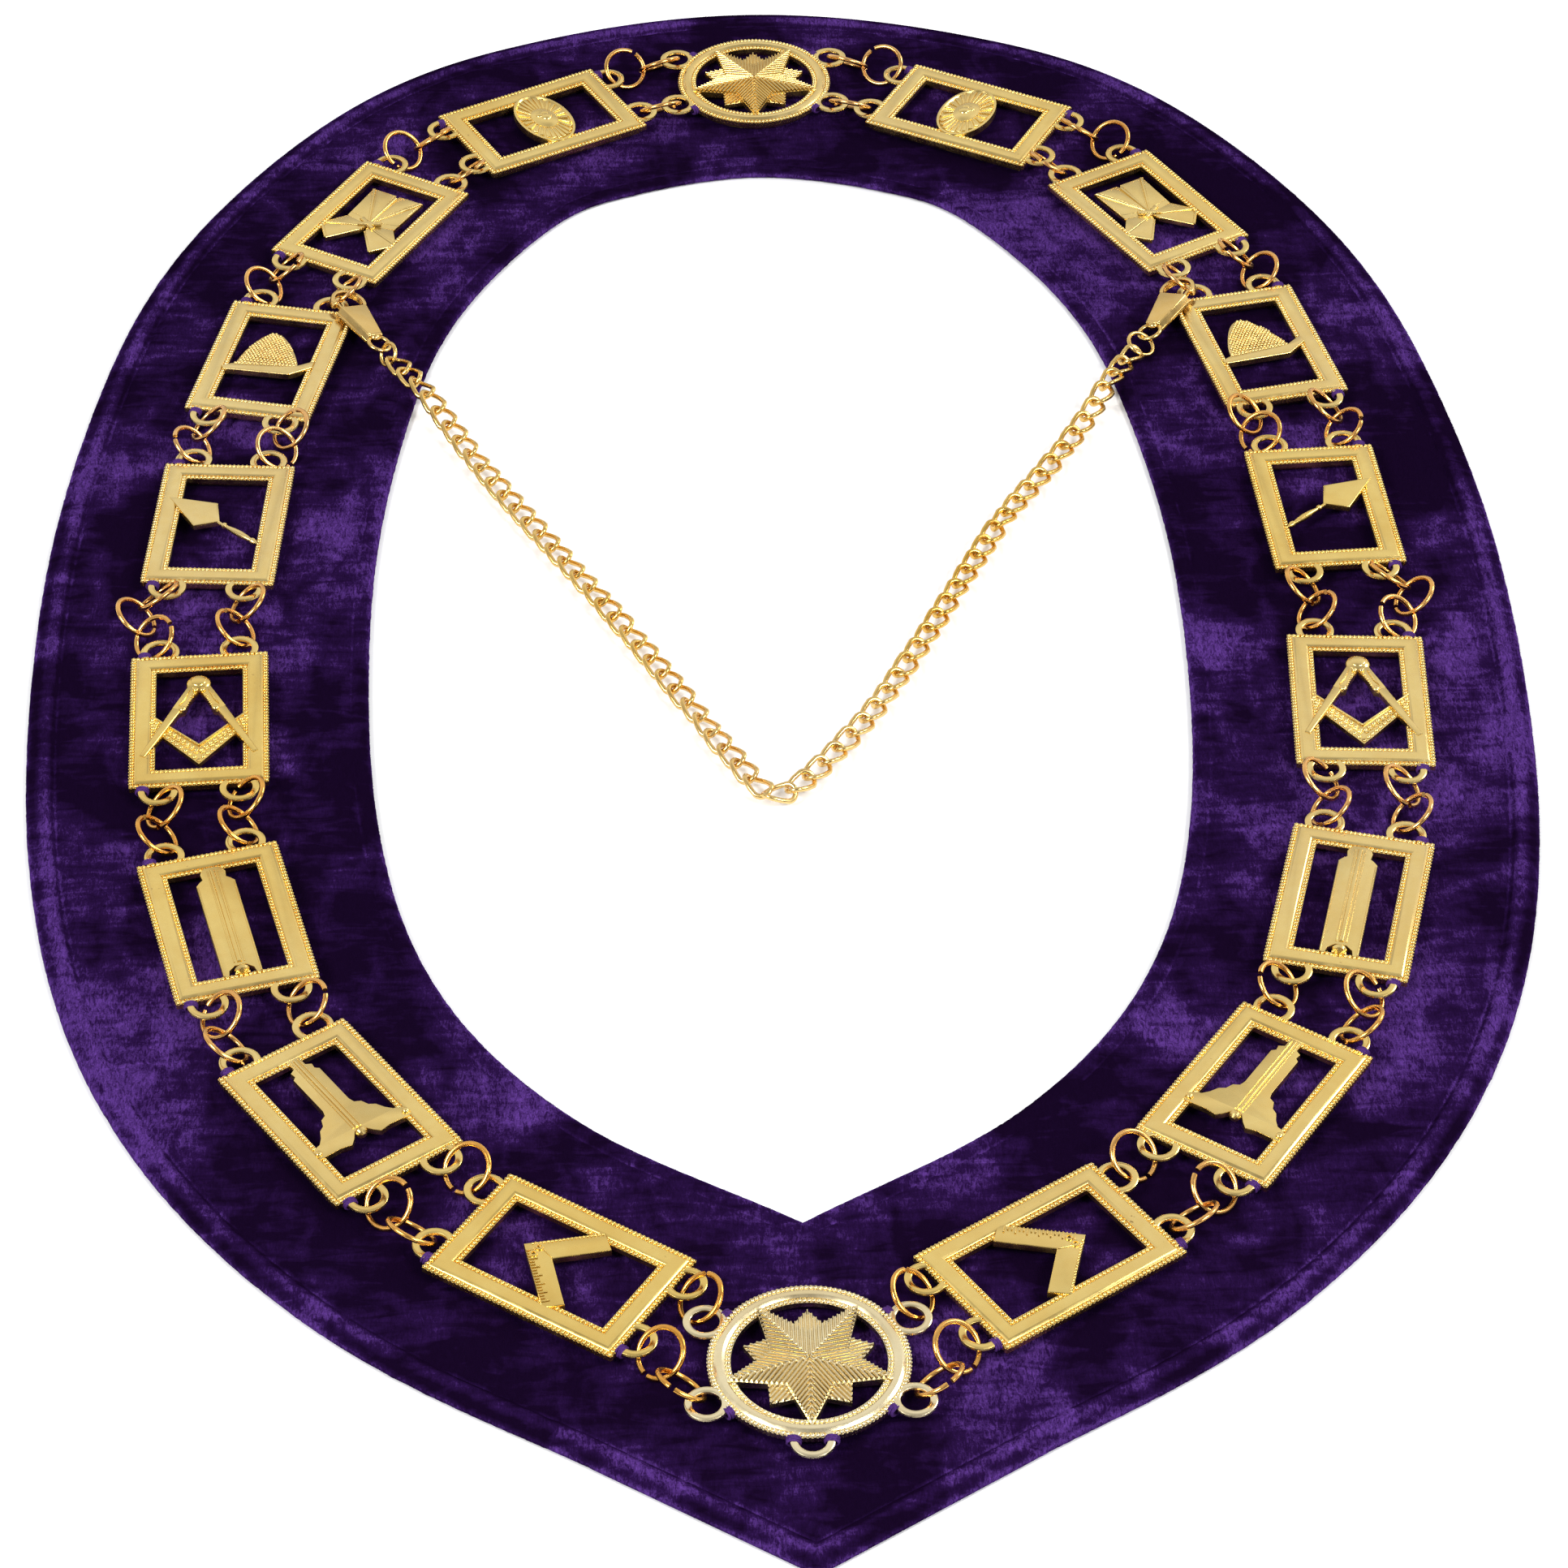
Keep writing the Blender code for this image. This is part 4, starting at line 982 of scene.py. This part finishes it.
def starPiece():
    longTip, notch, short = medallion["long"], medallion["notch"], medallion["short"]
    groove, across = medallion["groove"], medallion["notchAcross"]
    star = [onCircle(notch if step % 2 else longTip, 54 + 36 * step) for step in range(1, 11)]
    upper = castShape(star, 1.8, 3.2, 0)
    onTop(upper, bpy.ops.mesh.poke)
    for point in upper.data.vertices:
        if point.co.z > mm(3.1):
            point.co.z = mm(starHeight(1000 * point.co.x, 1000 * point.co.y) - 0.10)
    longUp, longAcross = onCircle(longTip, 36)
    slope = (longUp - notch) / longAcross
    edgeUp = notch + slope * across
    cornerAngle, cornerReach = math.degrees(math.atan2(across, edgeUp)), math.hypot(across, edgeUp)
    count = int(longAcross / groove)
    pieces = [upper]
    bars = []
    knobs = []
    for sector in range(5):
        angle = 90 + 72 * sector
        pieces.append(castShape([onCircle(short, angle),
                                 onCircle(cornerReach, angle - cornerAngle),
                                 onCircle(notch - 1.5, angle),
                                 onCircle(cornerReach, angle + cornerAngle)], 1.5, 2.9, 0.1))
        for step in range(-count, count + 1):
            offset = step * groove
            away = abs(offset)
            near = max(0.3, away / math.tan(math.radians(36)))
            far = notch + slope * away
            if far - near > 0.6:
                bars.append(barPlace(angle, offset, near, far - 0.25, starHeight))
            if away < across:
                beyond = short + (edgeUp - short) * away / across
                bars.append(barPlace(angle, offset, far, beyond - 0.2,
                                     lambda x, y: medallion["shortTop"]))
        for step in range(1, 14):
            radius = step * groove / math.sin(math.radians(36))
            if radius < longTip - 0.6:
                x, y = onCircle(radius, angle + 36)
                knobs.append((x, y, starHeight(x, y) + 0.06))
    return pieces + [layCopies(roofBar(), bars), studs(knobs, 0.40, 0, 1.0)]


def buildMedallion(hasJewelLoop):
    base = disc(medallion["radius"], plate["ledge"], 96)
    ringProfile(base, medallion["steps"], True)
    pieces = [base]
    for withRib, radius in ((True, medallion["radius"] - bead["roundIn"]),
                            (False, medallion["inner"] + bead["windowOut"])):
        count = round(math.tau * radius / bead["roundPitch"])
        places = [turned(360 * step / count) @ shift(0, -radius, plate["ledge"])
                  for step in range(count)]
        pieces.append(layCopies(rowBead(withRib), places))
    pieces += starPiece()
    places = [shift(*onCircle(medallion["radius"], angle), lug["level"]) @ turned(angle - 90)
              for angle in medallion["lugAngles"]]
    pieces.append(layCopies(lugPiece(lug["medallionOffset"]), places))
    if hasJewelLoop:
        loop = lugPiece(lug["jewelOffset"], 1.3)
        loop.data.transform(shift(0, -medallion["radius"], lug["level"]) @ turned(180))
        pieces.append(loop)
    return joinPieces(pieces)


for name, material, hasJewelLoop in (("medallion_back", plateGold, False),
                                     ("medallion_front", medallionGold, True)):
    piece = buildMedallion(hasJewelLoop)
    piece.data.transform(shift(*medallionPlaces[name], collar["plateLevel"]))
    finishPiece(piece, "cast_" + name, "collar", name, material)
    print("medallion made", name, len(piece.data.polygons))


tie = {"radius": 1.20, "thread": 0.60, "turns": 4, "pitch": 0.44, "fromLug": 4.05,
       "fromFrame": 0.75, "fromRim": 0.6, "sink": 0.45, "medallionTurn": 10.5,
       "jewelAcross": 4.2, "jewelBack": 0.4, "jewelSink": 0.35}


# A few turns of thread over each lug's outer root, pulled down into the velvet
def buildTies():
    loop = wireRing(tie["radius"], tie["thread"], 18, 6)
    loop.data.transform(scaled(1.2, 0.9, 0.85) @ turned(90, "X"))
    turns = layCopies(loop, [shift(0.10 * (step % 2), tie["pitch"] * (step - 1.5),
                                   0.05 * (step % 2)) @ turned(5 * (step % 3) - 5)
                             for step in range(tie["turns"])])
    places = []
    for emblem, x, y, turn, mirrored in plateRows:
        for side in (1, -1):
            for end in (1, -1):
                local = shift(side * (lug["spread"] / 2 + tie["fromLug"]),
                              end * (plate["halfY"] + tie["fromFrame"]),
                              lug["level"] - tie["sink"])
                places.append(plateMatrix(side * x, y, side * turn) @ local)
    for x, y in medallionPlaces.values():
        for angle in medallion["lugAngles"]:
            angle += tie["medallionTurn"] * (1 if angle in (28, 208) else -1)
            place = onCircle(medallion["radius"] + tie["fromRim"], angle, x, y)
            places.append(shift(*place, collar["plateLevel"] + lug["level"] - tie["sink"])
                          @ turned(angle - 90))
    x, y = medallionPlaces["medallion_front"]
    for side in (1, -1):
        places.append(shift(x + side * tie["jewelAcross"],
                            y - medallion["radius"] - tie["jewelBack"],
                            collar["plateLevel"] + lug["level"] - tie["jewelSink"]))
    return layCopies(turns, places)


finishPiece(buildTies(), "thread_ties", "collar", None, purpleThread, 60)


ring = {"radius": 5.85, "wire": 1.1, "drawn": 1.32, "tilt": 41, "lift": 1.7, "play": 0.7,
        "merge": 0.15, "gap": 3.4}
ringLevel = collar["plateLevel"] + lug["level"]


# Middle of a right lug: of a plate's upper or lower end, or of a medallion's side
def lugCentre(row, end, side):
    if 0 <= row < len(plateRows):
        emblem, x, y, turn, mirrored = plateRows[row]
        local = shift(side * lug["spread"] / 2, end * (plate["halfY"] + lug["offset"]))
        return 1000 * (plateMatrix(x, y, turn) @ local).translation.to_2d()
    place = medallionPlaces["medallion_back" if row < 0 else "medallion_front"]
    reach = medallion["radius"] + lug["medallionOffset"]
    return Vector(onCircle(reach, -end * lug["angle"] * side, *place))


# Middles and directions of the rings of a right strand
def strandRings(number, side):
    start = lugCentre(number - 2, -1, side)
    end = lugCentre(number - 1, 1, side)
    chord = math.sqrt(ring["radius"] ** 2 - ring["lift"] ** 2)
    grip = chord - ring["wire"] / 2
    far = grip + (lug["outer"] - lug["wire"]) / 2 - lug["wire"] / 2 - ring["play"]
    near = grip + ring["wire"] - lug["offset"] + 0.8
    link = grip + ring["merge"] / 2
    span = (end - start).length
    along = (end - start).normalized()
    across = Vector((-along.y, along.x)) * side
    if span <= 2 * far:
        return [((start + end) / 2, along)]
    bridge = 0.0 if span <= 2 * (far + link) else 2 * link
    reach = min(max((span - bridge) / 2, near + link), far + link)
    share = min(1.0, (span - bridge) / 2 / reach)
    rise = math.sqrt(1 - share ** 2)
    first = along * share + across * rise
    last = along * share - across * rise
    rings = [(start + first * (reach - link), first)]
    if bridge:
        rings.append((start + first * reach + along * link, along))
    rings.append((end - last * (reach - link), last))
    return rings


def ringMatrix(middle, along, lean):
    tilt = math.radians(ring["tilt"])
    across = Vector((lean.x * math.cos(tilt), lean.y * math.cos(tilt), math.sin(tilt)))
    centre = Vector((middle.x, middle.y, ringLevel)) + across * ring["lift"]
    return shift(*centre) @ axesAlong(along.to_3d(), across)


# A ring bent from wire whose ends don't quite meet
def buildJumpRing():
    piece = wireRing(ring["radius"], ring["drawn"], 56)
    gap = math.radians(ring["gap"])
    cutAway(piece, lambda face: abs(math.atan2(face.center.y, face.center.x)) < gap)
    editPiece(piece, "EDGE")
    bpy.ops.mesh.select_non_manifold(extend=False)
    bpy.ops.mesh.fill_holes(sides=0)
    leaveEdit()
    return piece


jumpRing = buildJumpRing()
for number in range(1, 10):
    for side, sideName in ((-1, "inner"), (1, "outer")):
        made = []
        for index, (middle, along) in enumerate(strandRings(number, side)):
            lean = Vector((along.y, -along.x)) * (-1 if index % 2 else 1)
            spin = turned(70 + 67 * ((number * 3 + index * 2 + side) % 5))
            made.append(copyPiece(jumpRing, ringMatrix(middle, along, lean) @ spin))
        right = joinPieces(made)
        for piece, name in ((right, "right"), (mirrorCopy(right), "left")):
            name = "rings_%s_%d_%s" % (name, number, sideName)
            finishPiece(piece, "wire_" + name, "collar", name, ringGold, 60)
drop(jumpRing)
print("jump rings made")


hook = {"diameter": 10.4, "strip": 1.2, "height": 1.8, "level": 2.6, "slack": 2.6,
        "shift": -0.4, "back": 2.53, "length": 13.5, "wide": 10.4, "narrow": 5.4,
        "deep": 2.6, "sheet": 0.8, "eye": 7.4, "eyeWire": 1.24, "eyeBack": 2.325, "turn": 50,
        "pitch": 9, "roll": 16}


# The right hook lies over the first ring of the third inner strand
def claspMatrix():
    ringMiddle, along = strandRings(3, -1)[0]
    neckward = Vector((along.y, -along.x))
    tilt = math.radians(ring["tilt"])
    rise = hook["level"] / math.sin(tilt) - ring["lift"]
    halfChord = math.sqrt(ring["radius"] ** 2 - rise ** 2)
    crossing = ringMiddle + along * halfChord + neckward * hook["level"] / math.tan(tilt)
    turn = math.radians(hook["turn"])
    run = along * math.cos(turn) + neckward * math.sin(turn)
    side = Vector((-run.y, run.x))
    middle = crossing + run * hook["slack"] + side * hook["shift"]
    return (shift(middle.x, middle.y, ringLevel + hook["level"])
            @ axesAlong(run.to_3d(), side.to_3d()) @ turned(hook["pitch"], "Y")
            @ turned(hook["roll"], "X"))


# Folded sheet body, hammered bow and wire eye
def buildClaspBody():
    outer, half, back = hook["diameter"] / 2, hook["height"] / 2, hook["back"]
    wide, narrow, deep = hook["wide"] / 2, hook["narrow"] / 2, hook["deep"] / 2
    bodyEnd = back + hook["length"]
    around = [84 + 221 * step / 30 for step in range(31)]
    bow = castShape([onCircle(outer, angle) for angle in around]
                    + [onCircle(outer - hook["strip"], angle) for angle in reversed(around)],
                    -half, half, 0.38)
    fold = castShape([(back, -wide), (bodyEnd, -narrow), (bodyEnd, narrow), (back, wide)],
                     -deep, deep, 0)
    onChosen(fold, "VERT", lambda place: place.z > 0, bpy.ops.transform.resize,
             value=(1, 0.80, 1), center_override=(0, 0, mm(deep)))
    onChosen(fold, "EDGE", lambda a, b: a.z > 0 or b.z > 0, bpy.ops.mesh.bevel,
             offset=mm(0.35), segments=3, affect="EDGES")
    pieces = [bow, fold]
    for side in (1, -1):
        pieces.append(strip((back + 0.3, side * (wide - 0.35)),
                            (bodyEnd - 0.3, side * (narrow - 0.35)), 0.8, -deep,
                            0.25 - deep / 2, 0.8, 0.25))
    lip = castShape([(bodyEnd - 1.1, -narrow * 0.78), (bodyEnd - 0.1, -narrow * 0.62),
                     (bodyEnd - 0.1, narrow * 0.62), (bodyEnd - 1.1, narrow * 0.78)],
                    deep - 0.4, deep + 0.16, 0.22)
    eye = wireRing((hook["eye"] - hook["eyeWire"]) / 2, hook["eyeWire"], 36)
    eye.data.transform(shift(bodyEnd + hook["eyeBack"], 0))
    return joinPieces(pieces + [lip, ball(1.5, bodyEnd - 0.3, 0, 0.3, 0.8, 16, 10), eye])


# Sprung strip on its pin, with a curled ball end
def buildClaspLever():
    high = hook["deep"] / 2 - hook["sheet"] - 0.3
    low = high - 1.1
    tip = Vector(onCircle(hook["diameter"] / 2 - hook["strip"] - 0.3, 98))
    pin = Vector((hook["back"] + 1.68, hook["wide"] / 2 - 1.92))
    along = (tip - pin).normalized()
    across = Vector((-along.y, along.x)) * 0.9
    blade = castShape([tip, pin, pin + across, tip + across], low, high, 0.2)
    post = lathed(((low - 0.15, 0.6), (high - 0.2, 0.6)), 12)
    post.data.transform(shift(pin.x, pin.y))
    knob = tip + along * -0.35 + Vector((along.y, -along.x)) * -0.35
    return joinPieces([blade, post, ball(0.62, knob.x, knob.y, (low + high) / 2, 0.95, 14, 10)])


clasp = claspMatrix()
for builder, prefix in ((buildClaspBody, "clasp_"), (buildClaspLever, "clasp_lever_")):
    right = builder()
    right.data.transform(clasp)
    for piece, side in ((right, "right"), (mirrorCopy(right), "left")):
        body = "collar" if prefix == "clasp_" else "lever_" + side
        finishPiece(piece, "snap_" + prefix + side, body, prefix + side, chainGold, 40)
print("snap hooks made")


# The end rings' rows: side, radius, wire, the point each leans towards and its roll
chain = {"pitch": 6.7, "wire": 1.4, "width": 6.6, "twist": 82, "roll": 30,
         "route": ((-95.5, 112, 5.7), (-88, 98, 4.0), (-77.1, 76.6, 2.8), (-55.2, 37.1, 2.8),
                   (-42.5, 14.5, 2.8), (-24.1, -20.8, 2.8), (-13.2, -42, 2.8),
                   (-1, -57.5, 2.8), (19.1, -33.5, 2.8), (35.3, -3.2, 2.8), (52.5, 33.5, 2.8),
                   (62.6, 54.1, 2.8), (77.6, 78.7, 2.8), (88, 96.8, 4.0), (95.5, 111.5, 5.7)),
         "endRings": ((-1, 3.2, 1.1, (-88, 98, 4.0), 60), (1, 3.8, 1.15, (88, 96.8, 4.6), -28))}


# One curb link: a long ring twisted about its length
def buildLink():
    radius = (chain["width"] - chain["wire"]) / 2
    stretch = (chain["pitch"] + chain["wire"]) / 2 - radius + 0.12
    piece = wireRing(radius, chain["wire"], 28, 10)
    pullApart(piece, 0, stretch)
    twist = piece.modifiers.new("twist", "SIMPLE_DEFORM")
    twist.deform_method = "TWIST"
    twist.deform_axis = "X"
    twist.angle = math.radians(chain["twist"])
    applyModifiers(piece)
    return piece


# A matrix at a point, with X along a direction and Y level
def alongMatrix(place, along, roll):
    side = upright.cross(along).normalized()
    return shift(*place) @ axesAlong(along, side) @ turned(roll, "X")


# A ring laid from the clasp's eye towards the chain, and where the chain takes hold of it
def endRing(side, radius, wire, towards, roll):
    reach = hook["back"] + hook["length"] + hook["eyeBack"] + hook["eye"] / 2 - 1.2
    eye = 1000 * (clasp @ Vector((mm(reach), 0, 0)))
    eye.x *= side
    along = (Vector(towards) - eye).normalized()
    piece = wireRing(radius, wire, 44)
    piece.data.transform(alongMatrix(eye + along * (radius - 0.4), along, roll))
    return piece, eye + along * (2 * radius - 0.8)


def buildChain():
    rings = [endRing(*row) for row in chain["endRings"]]
    points = [rings[0][1]] + [Vector(point) for point in chain["route"]] + [rings[1][1]]
    path = smoothThrough(points, 16)
    length = sum((after - before).length for before, after in zip(path, path[1:]))
    count = round(length / chain["pitch"])
    stops = spreadEvenly(path, count * 2)
    places = []
    for index in range(count):
        before, here, after = stops[2 * index:2 * index + 3]
        roll = chain["roll"] * noise.noise(Vector((index * 0.61, 0.2, 0)))
        places.append(alongMatrix(here, (after - before).normalized(), roll))
    return joinPieces([layCopies(buildLink(), places)] + [piece for piece, hold in rings])


safetyChain = buildChain()
finishPiece(safetyChain, "curb_chain", "collar", "safety_chain", chainGold, 60)
print("chain made", len(safetyChain.data.polygons))


# Soft boxes: place in metres and watts; the sky's greys run from the front to the back
studio = {"floor": 9, "box": 0.8,
          "lights": (("softbox_left", (-1.3, -1.0, 1.4), 36),
                     ("softbox_right", (1.2, -1.1, 1.5), 30),
                     ("softbox_side", (2.0, 0.7, 1.3), 20)),
          "sky": ((0.0, (0.22, 0.22, 0.23)), (0.45, (0.40, 0.40, 0.41)),
                  (0.72, (0.86, 0.86, 0.86)), (0.9, (1.0, 1.0, 1.0)), (1.0, (0.6, 0.6, 0.6)))}


def buildStudio():
    bpy.ops.mesh.primitive_plane_add(size=studio["floor"], location=(0, 0, -0.0004))
    floor = bpy.context.object
    floor.name = "studio_floor"
    material, tree, shader = newMaterial("white_floor")
    feedAll(tree, shader, {"Base Color": (0.93, 0.93, 0.93), "Roughness": 0.85})
    floor.data.materials.append(material)
    floor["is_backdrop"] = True
    world = bpy.data.worlds.new("soft_room")
    world.use_nodes = True
    scene.world = world
    tree = world.node_tree
    place = tree.nodes.new("ShaderNodeTexCoord").outputs["Generated"]
    depth = feedNode(tree, "ShaderNodeSeparateXYZ", {0: place}).outputs[1]
    shade = rampNode(tree, rangeNode(tree, depth, -0.9, 0.95, 0, 1), studio["sky"])
    feed(tree, tree.nodes["Background"].inputs["Color"], shade)
    for name, place, power in studio["lights"]:
        light = bpy.data.lights.new(name, "AREA")
        light.shape = "RECTANGLE"
        light.size = studio["box"]
        light.size_y = studio["box"] * 0.7
        light.energy = power
        lamp = bpy.data.objects.new(name, light)
        scene.collection.objects.link(lamp)
        lamp.location = place
        lamp.rotation_euler = (-Vector(place)).to_track_quat("-Z", "Y").to_euler()


# The photo's view, worked out from the plates
camera = {"lens": 113.9, "sensor": 36, "place": (-28, -996.6, 824.6), "heading": -1.7,
          "down": 41.07, "roll": 0.12}


def buildCamera():
    lens = bpy.data.cameras.new("photo_camera")
    lens.lens = camera["lens"]
    lens.sensor_width = camera["sensor"]
    lens.clip_start = 0.02
    lens.clip_end = 50
    eye = bpy.data.objects.new("photo_camera", lens)
    scene.collection.objects.link(eye)
    eye.matrix_world = (shift(*camera["place"]) @ turned(camera["heading"])
                        @ turned(90 - camera["down"], "X") @ turned(camera["roll"]))
    scene.camera = eye


buildStudio()
buildCamera()
scene.view_settings.view_transform = "Standard"
deselectAll()


def plainList(value):
    return [plainList(item) for item in value] if hasattr(value, "__len__") else float(value)


{"at_load": plainList(startBounds), "at_end": plainList(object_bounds())}
print("scene made")
